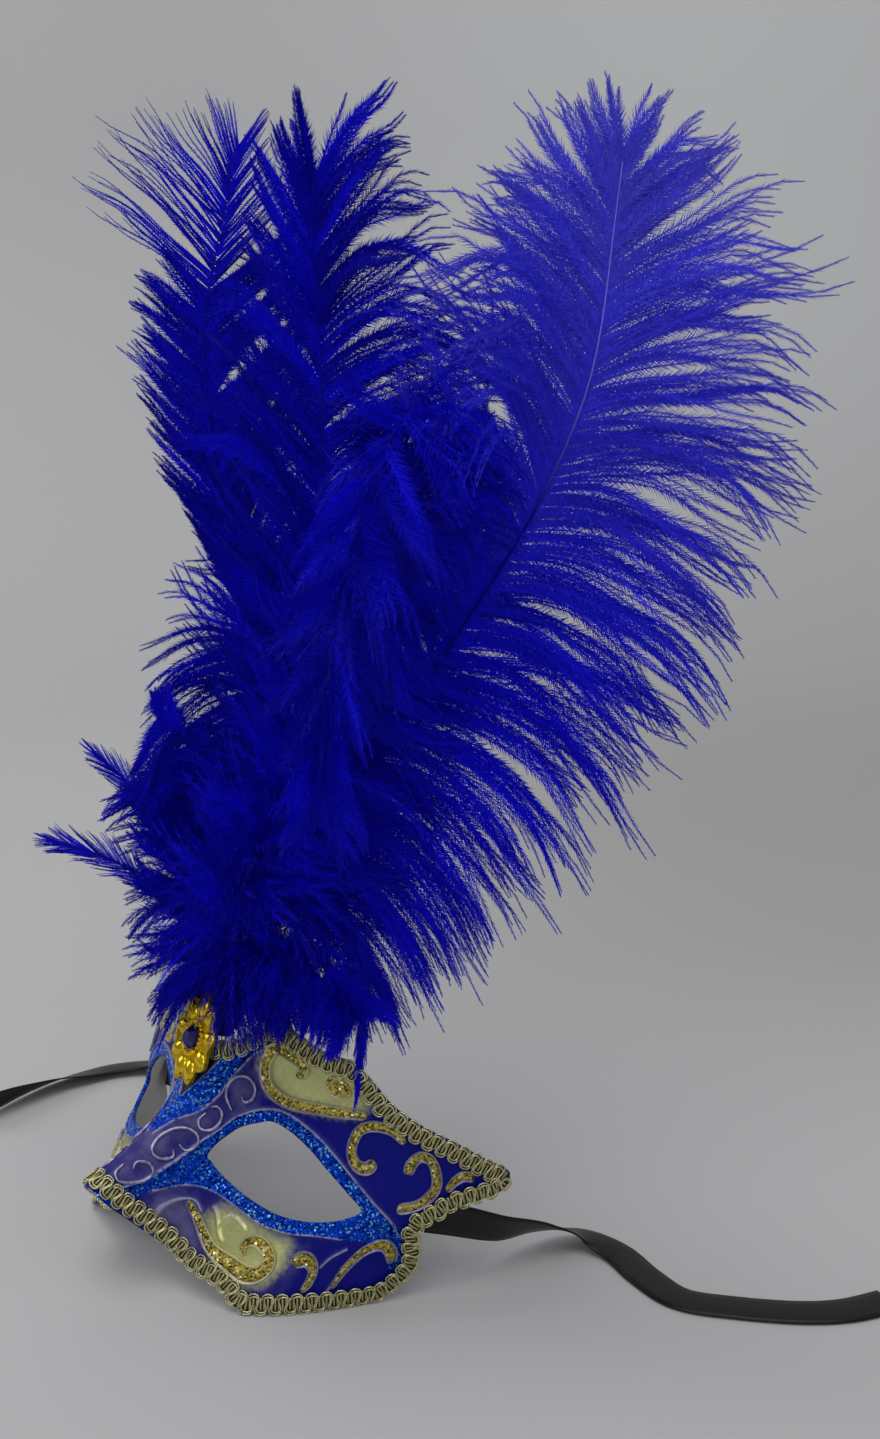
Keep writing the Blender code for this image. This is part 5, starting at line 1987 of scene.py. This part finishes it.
def makeTape(centres, lays, finish):
    # a tape under the strands, arched a little, with the way travelled along it for its ribs
    rows = 5
    count = len(centres)
    points, faces = [], []
    for index in range(count):
        run = (centres[(index + 1) % count] - centres[index - 1]).normalized()
        across = lays[index].cross(run).normalized()
        for k in range(rows):
            share = 2 * k / (rows - 1) - 1
            drop = braidSizes["strand"] * (1.2 + 0.5 * share * share)
            place = centres[index] + across * share * 0.5 * braidSizes["tapeWidth"]
            points.append(place - lays[index] * drop)
    for index in range(count):
        after = (index + 1) % count
        for k in range(rows - 1):
            faces.append((index * rows + k, index * rows + k + 1, after * rows + k + 1, after * rows + k))
    mesh = bpy.data.meshes.new("braid_tape")
    mesh.from_pydata(points, [], faces)
    travelled = np.cumsum([(centres[k] - centres[k - 1]).length if k else 0.0 for k in range(count)])
    writeValues(mesh, {"run": np.repeat(travelled * 1000, rows)})
    mesh.shade_smooth()
    tape = linkMesh("braid_tape", mesh, finish)
    wall = tape.modifiers.new("wall", "SOLIDIFY")
    wall.thickness = braidSizes["tapeThickness"]
    return tape


def makeBraid(finish, coreFinish):
    half = insetPath(outlinePath(braidSizes["step"]), 0.5 * braidSizes["width"])
    loop = wholeLoop(half)
    count = len(loop)
    centres = [onFace(a, b, braidSizes["lift"], side) for a, b, side in loop]
    lays = [(c - onFace(a, b, 0.0, side)).normalized() for c, (a, b, side) in zip(centres, loop)]
    length = sum((centres[(k + 1) % count] - centres[k]).length for k in range(count))
    pieces = []
    tree = braidTree(finish)
    for order, share in enumerate(braidSizes["strands"]):
        mesh = bpy.data.meshes.new("edge_line")
        lifted = [c + lay * braidSizes["stack"] * order for c, lay in zip(centres, lays)]
        mesh.from_pydata(lifted, [(k, (k + 1) % count) for k in range(count)], [])
        writeVectors(mesh, "lay", lays)
        values = {
            "Pitch": length / round(length / braidSizes["pitch"]),
            "Half width": (0.5 * braidSizes["width"] - braidSizes["strand"]) * share,
            "Bulge": braidSizes["bulge"] * share,
            "Strand radius": braidSizes["strand"],
        }
        pieces.append(bakeTree("braid_strand_" + str(order + 1), mesh, tree, values, finish))
    pieces.append(makeTape(centres, lays, coreFinish))
    for piece in pieces:
        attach(piece, "root")
    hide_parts("edge_braid")
    print("braid laid round", count, "places")


# The jewel: petals and beads on the cast plate, round a dark stone

jewelSizes = {
    "width": 0.0200,
    "height": 0.0290,
    "rings": {
        "jewel_petals": {
            "count": 9,
            "wide": 0.37,
            "tall": 0.37,
            "size": (0.0034, 0.0026, 0.0015),
            "lift": 0.0009,
            "longer": 0.18,
        },
        "jewel_beads": {
            "count": 22,
            "wide": 0.215,
            "tall": 0.195,
            "size": (0.00062, 0.00062, 0.00062),
            "lift": 0.0020,
            "longer": 0.0,
        },
    },
}


def petalTree(finish):
    # Geometry Nodes tree: one petal on each point, turned and sized by the point's attributes
    labels = ("Length", "Width", "Height")
    tree = newShapeTree("jewel_petals", "Places", labels)
    given = addNode(tree, "NodeGroupInput").outputs
    ball = addNode(tree, "GeometryNodeMeshUVSphere", {"Segments": 14, "Rings": 8, "Radius": 1.0}).outputs[0]
    smooth = addNode(tree, "GeometryNodeSetShadeSmooth", {"Geometry": ball}).outputs[0]
    axes = {0: readNamed(tree, "out", "FLOAT_VECTOR"), 1: readNamed(tree, "away", "FLOAT_VECTOR")}
    turn = addNode(tree, "FunctionNodeAxesToRotation", axes, primary_axis="Z", secondary_axis="X")
    grow = readNamed(tree, "grow", "FLOAT")
    lengths = {k: addMath(tree, "MULTIPLY", given[label], grow) for k, label in enumerate(labels)}
    size = addNode(tree, "ShaderNodeCombineXYZ", lengths).outputs[0]
    placing = {"Points": given[0], "Instance": smooth, "Rotation": turn.outputs[0], "Scale": size}
    put = addNode(tree, "GeometryNodeInstanceOnPoints", placing).outputs[0]
    closeShapeTree(tree, put, finish)
    return tree


def makeJewel(finish):
    across = (seat @ Vector((1, 0, 0)) - seat @ Vector((0, 0, 0))).normalized()
    rise = (seat @ Vector((0, 1, 0)) - seat @ Vector((0, 0, 0))).normalized()
    out = across.cross(rise)
    tree = petalTree(finish)
    for name, ring in jewelSizes["rings"].items():
        points, away, grow = [], [], []
        for k in range(ring["count"]):
            angle = 2 * math.pi * k / ring["count"]
            x = ring["wide"] * jewelSizes["width"] * math.sin(angle)
            y = ring["tall"] * jewelSizes["height"] * math.cos(angle)
            points.append(seat @ Vector((x, y, ring["lift"])))
            away.append((across * x + rise * y).normalized())
            grow.append(1.0 + ring["longer"] * math.cos(angle) ** 4)
        mesh = bpy.data.meshes.new(name + "_places")
        mesh.from_pydata(points, [], [])
        writeVectors(mesh, "away", away)
        writeVectors(mesh, "out", [out] * len(points))
        writeValues(mesh, {"grow": grow})
        values = dict(zip(("Length", "Width", "Height"), ring["size"]))
        piece = bakeTree(name, mesh, tree, values, finish)
        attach(piece, "root")


def stoneFinish():
    made, tree, shader = newMaterial("dark_stone")
    deep = addNoise(tree, ownPlace(tree), 300.0, 2.0)
    inputs = {
        "Base Color": mixColour(tree, deep, (0.002, 0.001, 0.06, 1), (0.008, 0.005, 0.24, 1)),
        "Roughness": addRange(tree, deep, 0.3, 0.7, 0.05, 0.12),
        "Coat Weight": 0.6,
    }
    setNode(tree, shader, inputs)
    return made


def padFinish():
    made, tree, shader = newMaterial("bound_cloth")
    weave = addNoise(tree, ownPlace(tree), 1500.0, 3.0)
    inputs = {
        "Base Color": mixColour(tree, weave, (0.002, 0.002, 0.02, 1), (0.008, 0.006, 0.07, 1)),
        "Roughness": 0.9,
        "Normal": addBump(tree, weave, 0.5, 0.0003),
    }
    setNode(tree, shader, inputs)
    return made


def dress(node, finish):
    piece = frame["nodes"][node]
    if piece.material_slots:
        for place in piece.material_slots:
            place.material = finish
    else:
        piece.data.materials.append(finish)


flakeGroup = glitterGroup()
makeShell(paintFinish(flakeGroup), liningFinish())
scrollPaint = scrollFinish(flakeGroup)
silverTones = ((0.22, 0.20, 0.42, 1), (0.50, 0.48, 0.66, 1))
silverPaint = metalFinish("silver_violet_line", *silverTones, 0.36, 600.0, 0.1)
for hand, side in (("_left", 1), ("_right", -1)):
    for name, rows in glitterScrolls.items():
        makeScroll(name + hand, rows, side, scrollPaint)
    for name, rows in noseCurls.items():
        makeCurl(name + hand, rows, side, silverPaint)
print("scrolls and curls laid")
braidGold = metalFinish("braid_gold_thread", (0.40, 0.37, 0.14, 1), (0.85, 0.82, 0.50, 1), 0.28, 2600.0, 0.4)
makeBraid(braidGold, tapeFinish())
jewelGold = metalFinish("bright_gold", (0.72, 0.46, 0.015, 1), (0.92, 0.68, 0.03, 1), 0.16, 300.0, 0.05)
makeJewel(jewelGold)
dress("jewel_setting", jewelGold)
dress("jewel_stone", stoneFinish())
dress("feather_pad", padFinish())
print("mask dressed")


# Floor, backdrop and light

stageSizes = {"side": 3.0, "front": -2.5, "wall": 1.3, "rise": 2.2, "bend": 0.5, "bendSteps": 12}
# the backdrop's own greys, then the colours of its painted shade and painted light
stageColours = {
    "dark": (0.52, 0.52, 0.525, 1),
    "light": (0.56, 0.56, 0.565, 1),
    "paintedShade": (0.42, 0.42, 0.42, 1),
    "paintedLight": (0.68, 0.69, 0.69, 1),
}
stageTurn = math.radians(cameraPlace["heading"])
stageRight = Vector((math.cos(stageTurn), math.sin(stageTurn), 0))
stageAway = Vector((-math.sin(stageTurn), math.cos(stageTurn), 0))


def stageFinish():
    made, tree, shader = newMaterial("pale_grey_sweep")
    place = ownPlace(tree)
    pale = mixColour(tree, addNoise(tree, place, 1.4, 2.0), stageColours["dark"], stageColours["light"])

    def along(axis):
        node = addNode(tree, "ShaderNodeVectorMath", {0: place, 1: axis}, operation="DOT_PRODUCT")
        return node.outputs["Value"]

    # on the right, painted shade darkens the backdrop low down and painted light brightens it high up
    right, far = along(stageRight), along(stageAway)
    height = addNode(tree, "ShaderNodeSeparateXYZ", {0: place}).outputs[2]
    paintedShade = addMath(tree, "MULTIPLY", addRange(tree, far, 0.02, 0.30), addRange(tree, far, 1.25, 0.45))
    paintedShade = addMath(tree, "MULTIPLY", paintedShade, addRange(tree, right, -0.2, 0.25))
    light = addMath(tree, "MULTIPLY", addRange(tree, right, -0.3, 0.4), addRange(tree, height, 0.02, 0.55))
    toned = mixColour(tree, paintedShade, pale, stageColours["paintedShade"])
    toned = mixColour(tree, light, toned, stageColours["paintedLight"])
    setNode(tree, shader, {"Base Color": toned, "Roughness": 0.7})
    return made


def addStage():
    # a floor that sweeps up into a wall behind the mask, square to the camera
    wall, bend, steps = stageSizes["wall"], stageSizes["bend"], stageSizes["bendSteps"]
    profile = [(stageSizes["front"], 0.0), (wall - bend, 0.0)]
    for k in range(1, steps + 1):
        angle = math.pi / 2 * k / steps
        profile.append((wall - bend + bend * math.sin(angle), bend - bend * math.cos(angle)))
    profile.append((wall, stageSizes["rise"]))
    points, faces = [], []
    for back, up in profile:
        for side in (-1, 1):
            points.append(stageRight * side * stageSizes["side"] + stageAway * back + Vector((0, 0, up)))
    for k in range(len(profile) - 1):
        faces.append((2 * k, 2 * k + 1, 2 * k + 3, 2 * k + 2))
    mesh = bpy.data.meshes.new("studio_sweep")
    mesh.from_pydata(points, [], faces)
    mesh.shade_smooth()
    linkMesh("studio_sweep", mesh, stageFinish())


lightPlaces = {
    "ceiling": {
        "place": (0.2, -0.3, 1.9),
        "aim": (0.0, 0.0, 0.1),
        "size": 1.6,
        "power": 17.0,
        "colour": (1.0, 0.98, 0.96),
    },
    "front": {
        "place": (1.3, -1.5, 1.1),
        "aim": (0.0, 0.0, 0.15),
        "size": 1.0,
        "power": 5.0,
        "colour": (0.96, 0.98, 1.0),
    },
    "left": {
        "place": (-1.3, -0.8, 0.9),
        "aim": (0.0, 0.0, 0.15),
        "size": 0.9,
        "power": 6.0,
        "colour": (1.0, 1.0, 1.0),
    },
}
roomLight = {"colour": (0.80, 0.82, 0.86, 1), "strength": 0.33}


def addLights():
    for name, values in lightPlaces.items():
        lamp = bpy.data.lights.new(name, "AREA")
        lamp.size = values["size"]
        lamp.energy = values["power"]
        lamp.color = values["colour"]
        holder = bpy.data.objects.new(name, lamp)
        holder.location = values["place"]
        aim = Vector(values["aim"]) - Vector(values["place"])
        holder.rotation_euler = aim.to_track_quat("-Z", "Y").to_euler()
        bpy.context.collection.objects.link(holder)
    world = bpy.data.worlds.new("soft_room")
    bpy.context.scene.world = world
    world.use_nodes = True
    background = world.node_tree.nodes["Background"]
    background.inputs[0].default_value = roomLight["colour"]
    background.inputs[1].default_value = roomLight["strength"]


addStage()
addLights()

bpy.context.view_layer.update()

triangles = {}
for piece in bpy.context.scene.objects:
    if piece.type == "MESH":
        triangles[piece.name] = sum(len(p.vertices) - 2 for p in piece.data.polygons)
print("triangles in all", sum(triangles.values()), sorted(triangles.items(), key=lambda row: -row[1])[:8])
